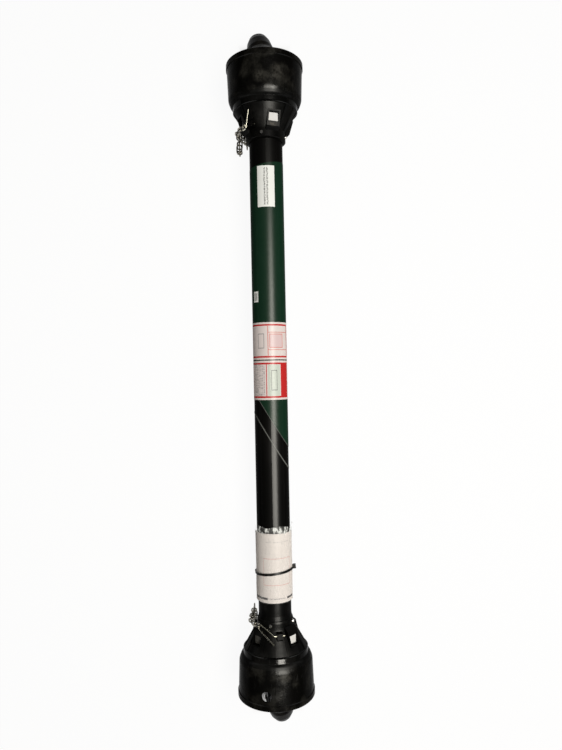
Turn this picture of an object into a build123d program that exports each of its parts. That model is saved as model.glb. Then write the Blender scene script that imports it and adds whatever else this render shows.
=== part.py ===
from build123d import *
from dataclasses import dataclass
from math import acos, atan2, cos, degrees, hypot, pi, radians, sin
import os

os.makedirs("parts", exist_ok=True)

# The shaft lies along X on the rims of its two bells, end A towards +X.
# An inset is a distance inboard of a bell's rim, and a turn is an angle about
# the shaft, counted from the top.

# Length of the closed shaft
RIM_SPAN = 1354.0
CROSS_INSET = 22.0

# Guard bells
BELL_RADIUS = 83.0
BELL_WALL = 3.0
LIP_LENGTH = 12.0
LIP_STEP = 1.6
BELL_TAPER = 2.2
BELL_LENGTH = 82.0
SHOULDER_LENGTH = 8.5
SHOULDER_DROP = 2.4
GREASE_HOLE_RADIUS = 10.5
GREASE_HOLE_INSET = 29.0

# Guard cones
CONE_SPIGOT = 10.0
BAND_LENGTH = 21.0
BAND_RADIUS = 69.4
FLANK_START_RADIUS = 66.0
FLANK_SETBACK = 17.0
FLANK_END_RADIUS = 41.6
COLLAR_LENGTH_A = 19.0
COLLAR_WALL = 6.9
NECK_LENGTH_B = 39.0
NECK_WALL = 2.4
CONE_WALL = 2.6
RIB_COUNT = 16
RIB_WIDTH = 2.2
RIB_HEIGHT = 2.4
WINDOW_COUNT = 4
WINDOW_LEAD = 10.0
WINDOW_LENGTH = 18.5
WINDOW_WIDTH = 22.0
FRAME_WALL = 3.0
SILL_LENGTH = 9.0
LUG_TURN = -55.0
LUG_SETBACK = 3.0
LUG_LENGTH = 15.0
LUG_WIDTH = 12.0
LUG_RISE = 6.0
LUG_HOLE_RADIUS = 2.6
SCREW_TURN = -30.0
SCREW_COUNT = 4
SCREW_SETBACK = 28.0
SCREW_RADIUS = 2.0
SCREW_HEAD_RADIUS = 3.6
SCREW_HEAD_HEIGHT = 2.4

# Guard tubes
GUARD_RADIUS_OUTER = 36.0
GUARD_WALL = 2.5
GUARD_CLEARANCE = 0.5
TUBE_SEAT_SETBACK = 21.0
GUARD_END_GAP = 40.0

# Three-lobed profile tubes
PROFILE_FLAT = 20.0
PROFILE_LOBE = 12.5
PROFILE_WALL = 4.0
PROFILE_CLEARANCE = 0.3
PROFILE_SOCKET = 52.0
PROFILE_END_GAP = 10.0

# Forged yokes
EYE_RADIUS = 20.0
EAR_INNER = 24.0
EAR_OUTER = 41.5
EAR_CORNER = 3.0
EAR_BEND_START = 0.6
EAR_BEND_END = 0.9
ARM_SPREAD = 0.8
THROAT_CLEARANCE = 1.5
HUB_WALL = 6.5
TUBE_YOKE_REACH = 120.0
GROOVE_DEPTH = 2.0
GROOVE_LENGTH = 12.0
GROOVE_SETBACK = 13.0
ROLL_PIN_RADIUS = 5.0
ROLL_PIN_WALL = 1.6
ROLL_PIN_SETBACK = 39.0
END_YOKE_REACH = 102.0
END_HUB_RADIUS = 30.0
NOSE_LENGTH = 31.0
NOSE_KNEE_LENGTH = 12.5
NOSE_KNEE_RADIUS = 26.2
NOSE_TIP_RADIUS = 20.7
HUB_CHAMFER = 2.0
SHOULDER_RUN = 14.0

# Six-spline bore
SPLINE_MINOR_RADIUS = 14.9
SPLINE_MAJOR_RADIUS = 17.5
SPLINE_WIDTH = 8.7
SPLINE_COUNT = 6

# Cross and its bearing cups
CUP_RADIUS = 15.1
CUP_FACE = 39.7
CUP_FLOOR = 2.4
JOURNAL_RADIUS = 9.0
RING_THICKNESS = 1.5
RING_DEPTH = 0.9
RING_WIDTH = 2.6
BODY_RADIUS = 13.0
SEAL_THICKNESS = 3.0
SEAL_RADIUS = 13.5
NIPPLE_RADIUS = 3.0
NIPPLE_LENGTH = 12.0

# Push pin of the end yokes
PIN_RADIUS = 5.5
PIN_STATION = 71.0
PIN_BOSS_WALL = 3.8
PIN_BOSS_REACH = 25.0
PIN_TRAVEL = 8.0
PIN_PROUD = 11.0
PIN_WAIST_DEPTH = 2.4
PIN_LAND = 5.0
SPRING_SHORT = 4.0
PIN_CAP_LENGTH = 3.0

# Bearing rings
RING_OUTER_RADIUS = 40.5
LUG_ROOT_RADIUS = 43.0
LUG_FACE_RADIUS = 49.5

# Chains
LINK_LENGTH = 22.0
LINK_WIDTH = 14.0
WIRE = 3.2
JOINT_SLACK = 2.1
JOINT_PLAY = 0.9
LAYER_STEP = 17.0
GROUND_GAP = 0.3
HOOK_WIRE = 2.4
HOOK_HALF_WIDTH = 6.0
HOOK_BEND = 2.6
HOOK_TAIL = 4.0

# Booklet, bag and tie
BOOKLET_LENGTH = 146.0
BOOKLET_GAP = 1.0
BOOKLET_THICKNESS = 2.6
BOOKLET_HALF_WRAP = 84.0
BAG_THICKNESS = 0.7
BAG_HALF_WRAP = 96.0
BAG_PROUD = 14.0
TIE_SETBACK = 62.0
TIE_WIDTH = 4.8
TIE_THICKNESS = 1.3
TIE_HEAD = 8.5
TIE_SLANT = 6.0

# Clearances
FIT = 0.02
RUNNING = 0.05
SOFT_GAP = 0.3

AXIS_HEIGHT = BELL_RADIUS
YOKE_END_INSET = CROSS_INSET + TUBE_YOKE_REACH
GROOVE_INSET = YOKE_END_INSET - GROOVE_SETBACK
ROLL_PIN_INSET = YOKE_END_INSET - ROLL_PIN_SETBACK
WINDOW_INSET = GROOVE_INSET - WINDOW_LEAD
LUG_INSET = GROOVE_INSET + LUG_SETBACK
FLANK_END_INSET = GROOVE_INSET + FLANK_SETBACK
TUBE_SEAT_INSET = GROOVE_INSET + TUBE_SEAT_SETBACK
SCREW_INSET = GROOVE_INSET + SCREW_SETBACK
TAIL_INSET = FLANK_END_INSET + COLLAR_LENGTH_A
BOOKLET_INSET = TAIL_INSET + NECK_LENGTH_B + BOOKLET_GAP
TIE_INSET = BOOKLET_INSET + TIE_SETBACK
SHAFT_AXIS = Axis((0, 0, AXIS_HEIGHT), (1, 0, 0))
GUARD_RADIUS_INNER = GUARD_RADIUS_OUTER - GUARD_WALL - GUARD_CLEARANCE
THROAT_RADIUS = hypot(EYE_RADIUS, EAR_OUTER) + THROAT_CLEARANCE
CUP_BORE = CUP_RADIUS + FIT
PIN_OFFSET = SPLINE_MINOR_RADIUS + PIN_RADIUS + 0.2
INNER_SHRINK = PROFILE_WALL + PROFILE_CLEARANCE
LOWER_LAYER = LINK_WIDTH / 2 + GROUND_GAP
UPPER_LAYER = LOWER_LAYER + LAYER_STEP
LINK_PITCH = LINK_LENGTH - WIRE - 2 * JOINT_SLACK


@dataclass(frozen=True)
class End:
    """One end of the shaft: its side of the middle, and how its pieces are turned."""

    name: str
    side: int
    cone_turn: float
    hole_turn: float
    droop: float
    sideways: float
    guard_radius: float
    hub_radius: float


TIP_OUTER = 2 * PROFILE_FLAT - PROFILE_LOBE
TIP_INNER = TIP_OUTER - PROFILE_WALL - PROFILE_CLEARANCE

END_A = End("a", 1, 20.0, 150.0, 19.1, 7.4, GUARD_RADIUS_OUTER, TIP_OUTER + HUB_WALL)
END_B = End("b", -1, 44.0, 14.0, 24.8, 6.2, GUARD_RADIUS_INNER, TIP_INNER + HUB_WALL)


@dataclass(frozen=True)
class Chain:
    """How one end's chain hangs and where its hank and the hook's free leg lie."""

    hang_inset: float
    hang_radius: float
    hang_turn: float
    near_column: float
    far_column: float
    long_run: int
    last_run: int
    free_inset: float
    free_turn: float
    free_clearance: float
    hook_along: bool


CHAINS = {
    "a": Chain(FLANK_END_INSET, 60.0, 74.5, 44.0, 61.0, 3, 2, WINDOW_INSET - 4, -31.0, 6.1, True),
    "b": Chain(SCREW_INSET + 2, 52.0, 56.5, 48.0, 31.0, 2, 2, GROOVE_INSET, 2.0, 14.8, False),
}


def along(end, inset):
    """X of a point so far inboard of an end's rim."""
    return end.side * (RIM_SPAN / 2 - inset)


def radial(end, turn):
    """Unit vector from the shaft's axis at a turn, seen from outside the end."""
    return Vector(0, -end.side * sin(radians(turn)), cos(radians(turn)))


def section(end, turn=0.0):
    """Plane through the axis: x is the inset from the rim, y the radius at that turn."""
    inward = Vector(-end.side, 0, 0)
    return Plane((along(end, 0), 0, AXIS_HEIGHT), x_dir=inward, z_dir=inward.cross(radial(end, turn)))


def station(end, inset):
    """Plane across the shaft at an inset, facing out of the end, x pointing up."""
    return Plane((along(end, inset), 0, AXIS_HEIGHT), x_dir=(0, 0, 1), z_dir=(end.side, 0, 0))


def spoke(end, inset, turn, radius=0.0):
    """Plane square to a spoke at a turn, at a radius from the shaft's axis."""
    out = radial(end, turn)
    origin = Vector(along(end, inset), 0, AXIS_HEIGHT) + out * radius
    return Plane(origin, x_dir=(1, 0, 0), z_dir=out)


def cross_centre(end):
    """Centre of an end's universal joint."""
    return Vector(along(end, CROSS_INSET), 0, AXIS_HEIGHT)


def tube_seat(end):
    """Plane of the tube yoke: origin at the cross, x along its journals, z to its hub."""
    return Plane(cross_centre(end), x_dir=(0, 1, 0), z_dir=(-end.side, 0, 0))


def end_seat(end):
    """Plane of the end yoke: it droops about the level journals, then swings sideways."""
    droop = radians(end.droop)
    swing = radians(end.sideways)
    ahead = Vector(end.side * cos(droop), 0, -sin(droop))
    upright = Vector(end.side * sin(droop), 0, cos(droop))
    out = ahead * cos(swing) + Vector(0, end.side * sin(swing), 0)
    return Plane(cross_centre(end), x_dir=upright, z_dir=out)


def cone_flank(inset):
    """Radius of the cone's flank at an inset."""
    run = FLANK_END_INSET - (BELL_LENGTH + BAND_LENGTH)
    share = (inset - BELL_LENGTH - BAND_LENGTH) / run
    return FLANK_START_RADIUS + share * (FLANK_END_RADIUS - FLANK_START_RADIUS)


SHOULDER_RADIUS = BELL_RADIUS - LIP_STEP - BELL_TAPER
BELL_END_RADIUS = SHOULDER_RADIUS - SHOULDER_DROP
SPIGOT_RADIUS = BELL_END_RADIUS - 1.2
OUTER_TUBE_START = along(END_B, TAIL_INSET + NECK_LENGTH_B + 1)
OUTER_TUBE_FINISH = along(END_A, TUBE_SEAT_INSET)
INNER_TUBE_START = along(END_B, TUBE_SEAT_INSET)
INNER_TUBE_FINISH = OUTER_TUBE_FINISH - GUARD_END_GAP
OUTER_PROFILE_START = along(END_B, YOKE_END_INSET + PROFILE_END_GAP)
OUTER_PROFILE_FINISH = along(END_A, YOKE_END_INSET - PROFILE_SOCKET + FIT)
INNER_PROFILE_START = along(END_B, YOKE_END_INSET - PROFILE_SOCKET + FIT)
INNER_PROFILE_FINISH = along(END_A, ROLL_PIN_INSET + ROLL_PIN_RADIUS + PROFILE_END_GAP)


def make_bell(end):
    """Thin bell with a thick lip, a gentle taper and a round shoulder."""
    wall = BELL_RADIUS - LIP_STEP
    shoulder = BELL_LENGTH - SHOULDER_LENGTH
    spigot = BELL_LENGTH - CONE_SPIGOT
    with BuildPart() as bell:
        with BuildSketch(section(end)):
            with BuildLine():
                outside = Polyline(
                    (0, BELL_RADIUS - BELL_WALL),
                    (0, BELL_RADIUS - 1),
                    (1, BELL_RADIUS),
                    (LIP_LENGTH - 1, BELL_RADIUS),
                    (LIP_LENGTH, wall),
                    (shoulder, SHOULDER_RADIUS),
                )
                turn_in = TangentArc(
                    outside @ 1, (BELL_LENGTH, BELL_END_RADIUS), tangent=(shoulder - LIP_LENGTH, -BELL_TAPER)
                )
                Polyline(
                    turn_in @ 1,
                    (BELL_LENGTH, SPIGOT_RADIUS + FIT),
                    (spigot, SPIGOT_RADIUS + FIT),
                    (LIP_LENGTH, wall - BELL_WALL),
                    outside @ 0,
                )
            make_face()
        revolve(axis=SHAFT_AXIS)
        with BuildSketch(spoke(end, GREASE_HOLE_INSET, end.hole_turn)):
            Circle(GREASE_HOLE_RADIUS)
        extrude(amount=2 * BELL_RADIUS, mode=Mode.SUBTRACT)
    return bell


def make_cone(end):
    """Ribbed cone between bell and tube, with windows, a chain lug and screw holes."""
    flank_start = BELL_LENGTH + BAND_LENGTH
    band_start = BELL_LENGTH + 9
    if end is END_A:
        tail = TAIL_INSET
        collar = end.guard_radius + COLLAR_WALL
        outline_end = [
            (FLANK_END_INSET, collar),
            (tail, collar),
            (tail + 1.5, collar - 1.5),
            (tail + 2.5, end.guard_radius + 1.2),
        ]
    else:
        tail = TAIL_INSET
        neck = end.guard_radius + NECK_WALL
        outline_end = [
            (FLANK_END_INSET, FLANK_END_RADIUS),
            (FLANK_END_INSET + 3, FLANK_END_RADIUS - 0.6),
            (SCREW_INSET - SCREW_HEAD_RADIUS - 0.6, collar_radius(end)),
            (SCREW_INSET + SCREW_HEAD_RADIUS + 0.6, collar_radius(end)),
            (tail, neck + 2.6),
            (tail + 1, neck + 1),
            (tail + 10, neck),
            (tail + NECK_LENGTH_B, neck),
        ]
    last = outline_end[-1][0]
    with BuildPart() as cone:
        with BuildSketch(section(end)):
            with BuildLine():
                front = Polyline(
                    (BELL_LENGTH - CONE_SPIGOT, 0),
                    (BELL_LENGTH - CONE_SPIGOT, SPIGOT_RADIUS),
                    (BELL_LENGTH + FIT, SPIGOT_RADIUS),
                    (BELL_LENGTH + FIT, BELL_END_RADIUS),
                    (BELL_LENGTH + 2, BELL_END_RADIUS - 0.6),
                )
                step = TangentArc(front @ 1, (band_start, BAND_RADIUS + 0.8), tangent=(1, -0.3))
                Polyline(
                    step @ 1,
                    (flank_start - 2.5, BAND_RADIUS - 0.3),
                    (flank_start - 1, BAND_RADIUS + 0.4),
                    (flank_start, BAND_RADIUS - 1),
                    (flank_start + 0.5, FLANK_START_RADIUS),
                    *outline_end,
                    (last, 0),
                    front @ 0,
                )
            make_face()
        revolve(axis=SHAFT_AXIS)

        windows = [end.cone_turn + k * 360 / WINDOW_COUNT for k in range(WINDOW_COUNT)]
        for k in range(RIB_COUNT):
            if k % (RIB_COUNT // WINDOW_COUNT):
                with BuildSketch(section(end, end.cone_turn + k * 360 / RIB_COUNT)):
                    Polygon(
                        (flank_start, FLANK_START_RADIUS - 4),
                        (flank_start, BAND_RADIUS - 1.2),
                        (flank_start + 6, cone_flank(flank_start + 6) + RIB_HEIGHT),
                        (FLANK_END_INSET + 1, FLANK_END_RADIUS + RIB_HEIGHT - 0.8),
                        (FLANK_END_INSET + 1, FLANK_END_RADIUS - 2),
                        align=None,
                    )
                extrude(amount=RIB_WIDTH / 2, both=True)
        sill_end = WINDOW_INSET + WINDOW_LENGTH + SILL_LENGTH
        for turn in windows:
            with BuildSketch(section(end, turn)):
                Polygon(
                    (WINDOW_INSET - FRAME_WALL, cone_flank(WINDOW_INSET) - 8),
                    (WINDOW_INSET - FRAME_WALL, cone_flank(WINDOW_INSET - FRAME_WALL) + 1),
                    (sill_end, LUG_FACE_RADIUS + 0.6),
                    (sill_end + 7, FLANK_END_RADIUS),
                    (sill_end, FLANK_END_RADIUS - 1),
                    align=None,
                )
            extrude(amount=WINDOW_WIDTH / 2 + FRAME_WALL, both=True)

        with BuildSketch(section(end, end.cone_turn + LUG_TURN)):
            Polygon(
                (LUG_INSET, cone_flank(LUG_INSET) - 4),
                (LUG_INSET, cone_flank(LUG_INSET) + LUG_RISE - 2),
                (LUG_INSET + 3, cone_flank(LUG_INSET) + LUG_RISE),
                (LUG_INSET + LUG_LENGTH, cone_flank(LUG_INSET) + LUG_RISE),
                (LUG_INSET + LUG_LENGTH, FLANK_END_RADIUS - 2),
                align=None,
            )
        extrude(amount=LUG_WIDTH / 2, both=True)
        with BuildSketch(section(end, end.cone_turn + LUG_TURN)):
            with Locations(lug_hole_centre()):
                Circle(LUG_HOLE_RADIUS)
        extrude(amount=LUG_WIDTH, both=True, mode=Mode.SUBTRACT)

        bore = end.guard_radius + FIT
        with BuildSketch(section(end)):
            Polygon(
                (BELL_LENGTH - CONE_SPIGOT - 1, 0),
                (BELL_LENGTH - CONE_SPIGOT - 1, SPIGOT_RADIUS - CONE_WALL),
                (BELL_LENGTH, SPIGOT_RADIUS - CONE_WALL),
                (band_start, BAND_RADIUS - CONE_WALL),
                (flank_start - 2, BAND_RADIUS - CONE_WALL),
                (flank_start, FLANK_START_RADIUS - CONE_WALL),
                (FLANK_END_INSET - 2, FLANK_END_RADIUS - CONE_WALL),
                (TUBE_SEAT_INSET, FLANK_END_RADIUS - CONE_WALL - 1),
                (TUBE_SEAT_INSET, bore),
                (last + 1, bore),
                (last + 1, 0),
                align=None,
            )
        revolve(axis=SHAFT_AXIS, mode=Mode.SUBTRACT)
        for turn in windows:
            with BuildSketch(spoke(end, WINDOW_INSET + WINDOW_LENGTH / 2, turn, GUARD_RADIUS_OUTER)):
                Rectangle(WINDOW_LENGTH, WINDOW_WIDTH)
            extrude(amount=BELL_RADIUS, mode=Mode.SUBTRACT)
        for turn in screw_turns(end):
            with BuildSketch(spoke(end, SCREW_INSET, turn)):
                Circle(SCREW_RADIUS + FIT)
            extrude(amount=BELL_RADIUS, mode=Mode.SUBTRACT)
    return cone


def lug_hole_centre():
    """Inset and radius of the hole through a cone's chain lug."""
    return (LUG_INSET + LUG_LENGTH - 5.5, cone_flank(LUG_INSET) + LUG_RISE - 4.2)


def screw_turns(end):
    """Turns of the screws that hold a cone on its tube."""
    return [end.cone_turn + SCREW_TURN + k * 360 / SCREW_COUNT for k in range(SCREW_COUNT)]


def collar_radius(end):
    """Outside radius of the collar under the screw heads."""
    if end is END_A:
        return end.guard_radius + COLLAR_WALL
    return end.guard_radius + NECK_WALL + 3.4


def make_screws(end):
    """Pan-head screws through the collar and the guard tube."""
    with BuildPart() as screws:
        for turn in screw_turns(end):
            seat = spoke(end, SCREW_INSET, turn, collar_radius(end))
            with BuildSketch(seat):
                Circle(SCREW_HEAD_RADIUS)
            extrude(amount=SCREW_HEAD_HEIGHT, taper=20)
            with BuildSketch(seat):
                Circle(SCREW_RADIUS)
            extrude(amount=-(collar_radius(end) - end.guard_radius + GUARD_WALL))
    return screws


def make_guard_tube(end, inner_radius, start, finish):
    """Plain round guard tube between two places along X, with its screw holes."""
    with BuildPart() as tube:
        with BuildSketch(Plane((start, 0, AXIS_HEIGHT), x_dir=(0, 0, 1), z_dir=(1, 0, 0))):
            Circle(end.guard_radius)
            Circle(inner_radius, mode=Mode.SUBTRACT)
        extrude(amount=finish - start)
        for turn in screw_turns(end):
            with BuildSketch(spoke(end, SCREW_INSET, turn)):
                Circle(SCREW_RADIUS + FIT)
            extrude(amount=BELL_RADIUS, mode=Mode.SUBTRACT)
    return tube


def lobed(shrink):
    """Three-lobed outline, smaller all round than the outer profile by so much."""
    with BuildSketch() as outline:
        RegularPolygon(2 * (PROFILE_FLAT - shrink), 3)
        fillet(outline.vertices(), PROFILE_LOBE - shrink)
    return outline.sketch


def make_profile_tube(start, finish, shrink, pin_x):
    """Three-lobed steel tube with the hole of its roll pin."""
    with BuildPart() as tube:
        with BuildSketch(Plane((start, 0, AXIS_HEIGHT), x_dir=(0, 0, 1), z_dir=(1, 0, 0))):
            add(lobed(shrink))
            add(lobed(shrink + PROFILE_WALL), mode=Mode.SUBTRACT)
        extrude(amount=finish - start)
        with BuildSketch(Plane((pin_x, 0, 0))):
            Circle(ROLL_PIN_RADIUS + FIT)
        extrude(amount=2 * AXIS_HEIGHT, mode=Mode.SUBTRACT)
    return tube


def make_yoke_blank(seat, hub_radius, hub_outline):
    """Forged yoke: two eared arms that turn into a round hub, whose outline ends it."""
    ear_side = Plane(seat.origin, x_dir=seat.y_dir, z_dir=seat.x_dir)
    outline = Plane(seat.origin, x_dir=seat.x_dir, z_dir=-seat.y_dir)
    hub_start = THROAT_RADIUS + SHOULDER_RUN
    with BuildPart() as yoke:
        with BuildSketch(ear_side):
            Circle(EYE_RADIUS)
            with Locations((0, hub_start)):
                Rectangle(2 * ARM_SPREAD * hub_radius, 1)
            make_hull()
        extrude(amount=EAR_OUTER, both=True)
        with BuildSketch(outline):
            with BuildLine():
                Polyline(
                    (0, -EYE_RADIUS - EAR_CORNER),
                    (EAR_OUTER + EAR_CORNER, -EYE_RADIUS - EAR_CORNER),
                    (EAR_OUTER + EAR_CORNER, EYE_RADIUS / 2),
                    (EAR_OUTER - EAR_CORNER / 3, THROAT_RADIUS * EAR_BEND_START),
                    (EAR_OUTER - EAR_CORNER, THROAT_RADIUS * EAR_BEND_END),
                    (hub_radius, hub_start),
                    (0, hub_start),
                    close=True,
                )
            make_face()
        revolve(axis=Axis(seat.origin, seat.z_dir), mode=Mode.INTERSECT)
        with BuildSketch(outline):
            with BuildLine():
                Polyline(
                    (0, THROAT_RADIUS),
                    (hub_radius, THROAT_RADIUS),
                    *hub_outline,
                    (0, hub_outline[-1][1]),
                    close=True,
                )
            make_face()
        revolve(axis=Axis(seat.origin, seat.z_dir))
        with BuildSketch(ear_side):
            Circle(THROAT_RADIUS)
        extrude(amount=EAR_INNER, both=True, mode=Mode.SUBTRACT)
        with BuildSketch(ear_side):
            Circle(CUP_BORE)
        extrude(amount=2 * EAR_OUTER, both=True, mode=Mode.SUBTRACT)
        for direction in (1, -1):
            groove = direction * (CUP_FACE + FIT)
            with BuildSketch(ear_side.offset(groove)):
                Circle(CUP_RADIUS + RING_DEPTH)
            extrude(amount=direction * (RING_THICKNESS + FIT), mode=Mode.SUBTRACT)
    return yoke


def make_tube_yoke(end, shrink):
    """Yoke pinned on a profile tube, with the groove that carries the guard."""
    seat = tube_seat(end)
    pin_x = along(end, ROLL_PIN_INSET)
    hub_outline = [
        (end.hub_radius, TUBE_YOKE_REACH - HUB_CHAMFER),
        (end.hub_radius - HUB_CHAMFER, TUBE_YOKE_REACH),
    ]
    with BuildPart() as yoke:
        add(make_yoke_blank(seat, end.hub_radius, hub_outline).part)
        with BuildSketch(seat.offset(TUBE_YOKE_REACH - PROFILE_SOCKET)):
            add(profile_outline(end, shrink - FIT))
        extrude(amount=PROFILE_SOCKET + 1, mode=Mode.SUBTRACT)
        with BuildSketch(seat.offset(TUBE_YOKE_REACH - GROOVE_SETBACK - GROOVE_LENGTH / 2)):
            Circle(end.hub_radius + 1)
            Circle(end.hub_radius - GROOVE_DEPTH, mode=Mode.SUBTRACT)
        extrude(amount=GROOVE_LENGTH, mode=Mode.SUBTRACT)
        with BuildSketch(Plane((pin_x, 0, 0))):
            Circle(ROLL_PIN_RADIUS + FIT)
        extrude(amount=2 * AXIS_HEIGHT, mode=Mode.SUBTRACT)
    return yoke


def profile_outline(end, shrink):
    """The lobed outline as it lies on a yoke's own plane, one lobe up."""
    return lobed(shrink).rotate(Axis.Z, -90 * end.side)


def make_roll_pin(end):
    """Slotted spring pin through the yoke's hub and its tube."""
    with BuildPart() as pin:
        with BuildSketch(Plane((along(end, ROLL_PIN_INSET), 0, AXIS_HEIGHT - end.hub_radius))):
            Circle(ROLL_PIN_RADIUS)
            Circle(ROLL_PIN_RADIUS - ROLL_PIN_WALL, mode=Mode.SUBTRACT)
            with Locations((ROLL_PIN_RADIUS, 0)):
                Rectangle(2 * ROLL_PIN_RADIUS - 1, 1.2, mode=Mode.SUBTRACT)
        extrude(amount=2 * end.hub_radius)
    return pin


def make_cups(seat):
    """Two closed bearing cups of one yoke, open towards the cross."""
    ear_side = Plane(seat.origin, x_dir=seat.y_dir, z_dir=seat.x_dir)
    with BuildPart() as cups:
        for direction in (1, -1):
            with BuildSketch(ear_side.offset(direction * (EAR_INNER - 1))):
                Circle(CUP_RADIUS)
            extrude(amount=direction * (CUP_FACE - EAR_INNER + 1))
            with BuildSketch(ear_side.offset(direction * (EAR_INNER - 1))):
                Circle(JOURNAL_RADIUS + RUNNING)
            extrude(amount=direction * (CUP_FACE - CUP_FLOOR - EAR_INNER + 1), mode=Mode.SUBTRACT)
    return cups


def make_snap_rings(seat):
    """Two snap rings that hold a yoke's cups, each with a gap."""
    ear_side = Plane(seat.origin, x_dir=seat.y_dir, z_dir=seat.x_dir)
    outer = CUP_RADIUS + RING_DEPTH - FIT
    with BuildPart() as rings:
        for direction in (1, -1):
            with BuildSketch(ear_side.offset(direction * (CUP_FACE + 2 * FIT))):
                Circle(outer)
                Circle(outer - RING_WIDTH, mode=Mode.SUBTRACT)
                with Locations((0, -outer)):
                    Rectangle(7, 2 * RING_WIDTH + 2, mode=Mode.SUBTRACT)
            extrude(amount=direction * (RING_THICKNESS - FIT))
    return rings


def cross_seat(end):
    """Plane of the cross: x along its upright journals, z ahead."""
    droop = radians(end.droop)
    return Plane(
        cross_centre(end),
        x_dir=(end.side * sin(droop), 0, cos(droop)),
        z_dir=(end.side * cos(droop), 0, -sin(droop)),
    )


def make_cross(end):
    """Forged cross with four ground journals."""
    seat = cross_seat(end)
    upright = Plane(seat.origin, x_dir=seat.y_dir, z_dir=seat.x_dir)
    level = Plane(seat.origin, x_dir=seat.z_dir, z_dir=seat.y_dir)
    journal_end = CUP_FACE - CUP_FLOOR - RUNNING
    collar_end = EAR_INNER - 1 - SEAL_THICKNESS - RUNNING
    with BuildPart() as cross:
        for arm in (upright, level):
            with BuildSketch(arm):
                Circle(BODY_RADIUS)
            extrude(amount=collar_end, both=True)
            with BuildSketch(arm):
                Circle(JOURNAL_RADIUS)
            extrude(amount=journal_end, both=True)
        with BuildSketch(seat):
            Circle(NIPPLE_RADIUS)
        extrude(amount=BODY_RADIUS + 1, mode=Mode.SUBTRACT)
    return cross


def make_nipple(end):
    """Grease nipple in the front of the cross."""
    seat = cross_seat(end)
    with BuildPart() as nipple:
        with BuildSketch(seat):
            Circle(NIPPLE_RADIUS - FIT)
        extrude(amount=BODY_RADIUS + 1)
        with BuildSketch(seat.offset(BODY_RADIUS + 1)):
            RegularPolygon(NIPPLE_RADIUS + 1, 6)
        extrude(amount=NIPPLE_LENGTH / 3)
        with BuildSketch(seat.offset(BODY_RADIUS + 1 + NIPPLE_LENGTH / 3)):
            Circle(NIPPLE_RADIUS)
        extrude(amount=NIPPLE_LENGTH / 3, taper=14)
    return nipple


def make_seals(end):
    """Four rubber seals between the cross and its cups."""
    seat = cross_seat(end)
    with BuildPart() as seals:
        for arm in (
            Plane(seat.origin, x_dir=seat.y_dir, z_dir=seat.x_dir),
            Plane(seat.origin, x_dir=seat.z_dir, z_dir=seat.y_dir),
        ):
            for direction in (1, -1):
                with BuildSketch(arm.offset(direction * (EAR_INNER - 1 - SEAL_THICKNESS))):
                    Circle(SEAL_RADIUS)
                    Circle(JOURNAL_RADIUS + FIT, mode=Mode.SUBTRACT)
                extrude(amount=direction * (SEAL_THICKNESS - RUNNING))
    return seals


def pin_plane(end):
    """Plane of the push pin: origin on its line under the bore, z sideways to its button."""
    seat = end_seat(end)
    origin = seat.origin + seat.z_dir * PIN_STATION - seat.x_dir * PIN_OFFSET
    return Plane(origin, x_dir=seat.z_dir, z_dir=seat.y_dir * -end.side)


def make_end_yoke(end):
    """Quick-release yoke with a six-spline bore and the boss of its push pin."""
    seat = end_seat(end)
    pin = pin_plane(end)
    boss_radius = PIN_RADIUS + PIN_BOSS_WALL
    nose_outline = [
        (END_HUB_RADIUS, END_YOKE_REACH - NOSE_LENGTH),
        (NOSE_KNEE_RADIUS, END_YOKE_REACH - NOSE_KNEE_LENGTH),
        (NOSE_TIP_RADIUS, END_YOKE_REACH),
    ]
    with BuildPart() as yoke:
        add(make_yoke_blank(seat, END_HUB_RADIUS, nose_outline).part)
        with BuildSketch(pin.offset(-PIN_BOSS_REACH)):
            Circle(boss_radius)
        extrude(amount=2 * PIN_BOSS_REACH)
        with BuildSketch(seat.offset(EYE_RADIUS)):
            Circle(SPLINE_MINOR_RADIUS)
            with PolarLocations(0, SPLINE_COUNT):
                with Locations((SPLINE_MAJOR_RADIUS / 2, 0)):
                    Rectangle(SPLINE_MAJOR_RADIUS, SPLINE_WIDTH)
        extrude(amount=END_YOKE_REACH, mode=Mode.SUBTRACT)
        with BuildSketch(pin.offset(-PIN_BOSS_REACH - 1)):
            Circle(PIN_RADIUS + RUNNING)
        extrude(amount=2 * PIN_BOSS_REACH + 2, mode=Mode.SUBTRACT)
    return yoke


def make_push_pin(end):
    """Sprung locking pin with a waist that frees the shaft when it is pushed in."""
    pin = pin_plane(end)
    tail = PIN_BOSS_REACH - PIN_CAP_LENGTH - SPRING_SHORT - PIN_TRAVEL
    with BuildPart() as push_pin:
        with BuildSketch(pin.offset(-tail)):
            Circle(PIN_RADIUS)
        extrude(amount=tail + PIN_LAND)
        with BuildSketch(pin.offset(PIN_LAND)):
            Circle(PIN_RADIUS - PIN_WAIST_DEPTH)
        extrude(amount=PIN_TRAVEL)
        with BuildSketch(pin.offset(PIN_LAND + PIN_TRAVEL)):
            Circle(PIN_RADIUS)
        extrude(amount=PIN_BOSS_REACH + PIN_PROUD - PIN_LAND - PIN_TRAVEL)
        chamfer(push_pin.edges().sort_by(Axis(pin.origin, pin.z_dir))[-1], 1.2)
    return push_pin


def make_pin_spring(end):
    """Spring behind the push pin, drawn as closed turns at its shortest."""
    start = -PIN_BOSS_REACH + PIN_CAP_LENGTH
    with BuildPart() as spring:
        with BuildSketch(pin_plane(end).offset(start)):
            Circle(PIN_RADIUS - 2 * FIT)
            Circle(PIN_RADIUS - 1.2, mode=Mode.SUBTRACT)
        extrude(amount=SPRING_SHORT - RUNNING)
    return spring


def make_pin_cap(end):
    """Plug that closes the push pin's bore."""
    with BuildPart() as cap:
        with BuildSketch(pin_plane(end).offset(-PIN_BOSS_REACH)):
            Circle(PIN_RADIUS + RUNNING - FIT)
        extrude(amount=PIN_CAP_LENGTH - FIT)
    return cap


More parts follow.
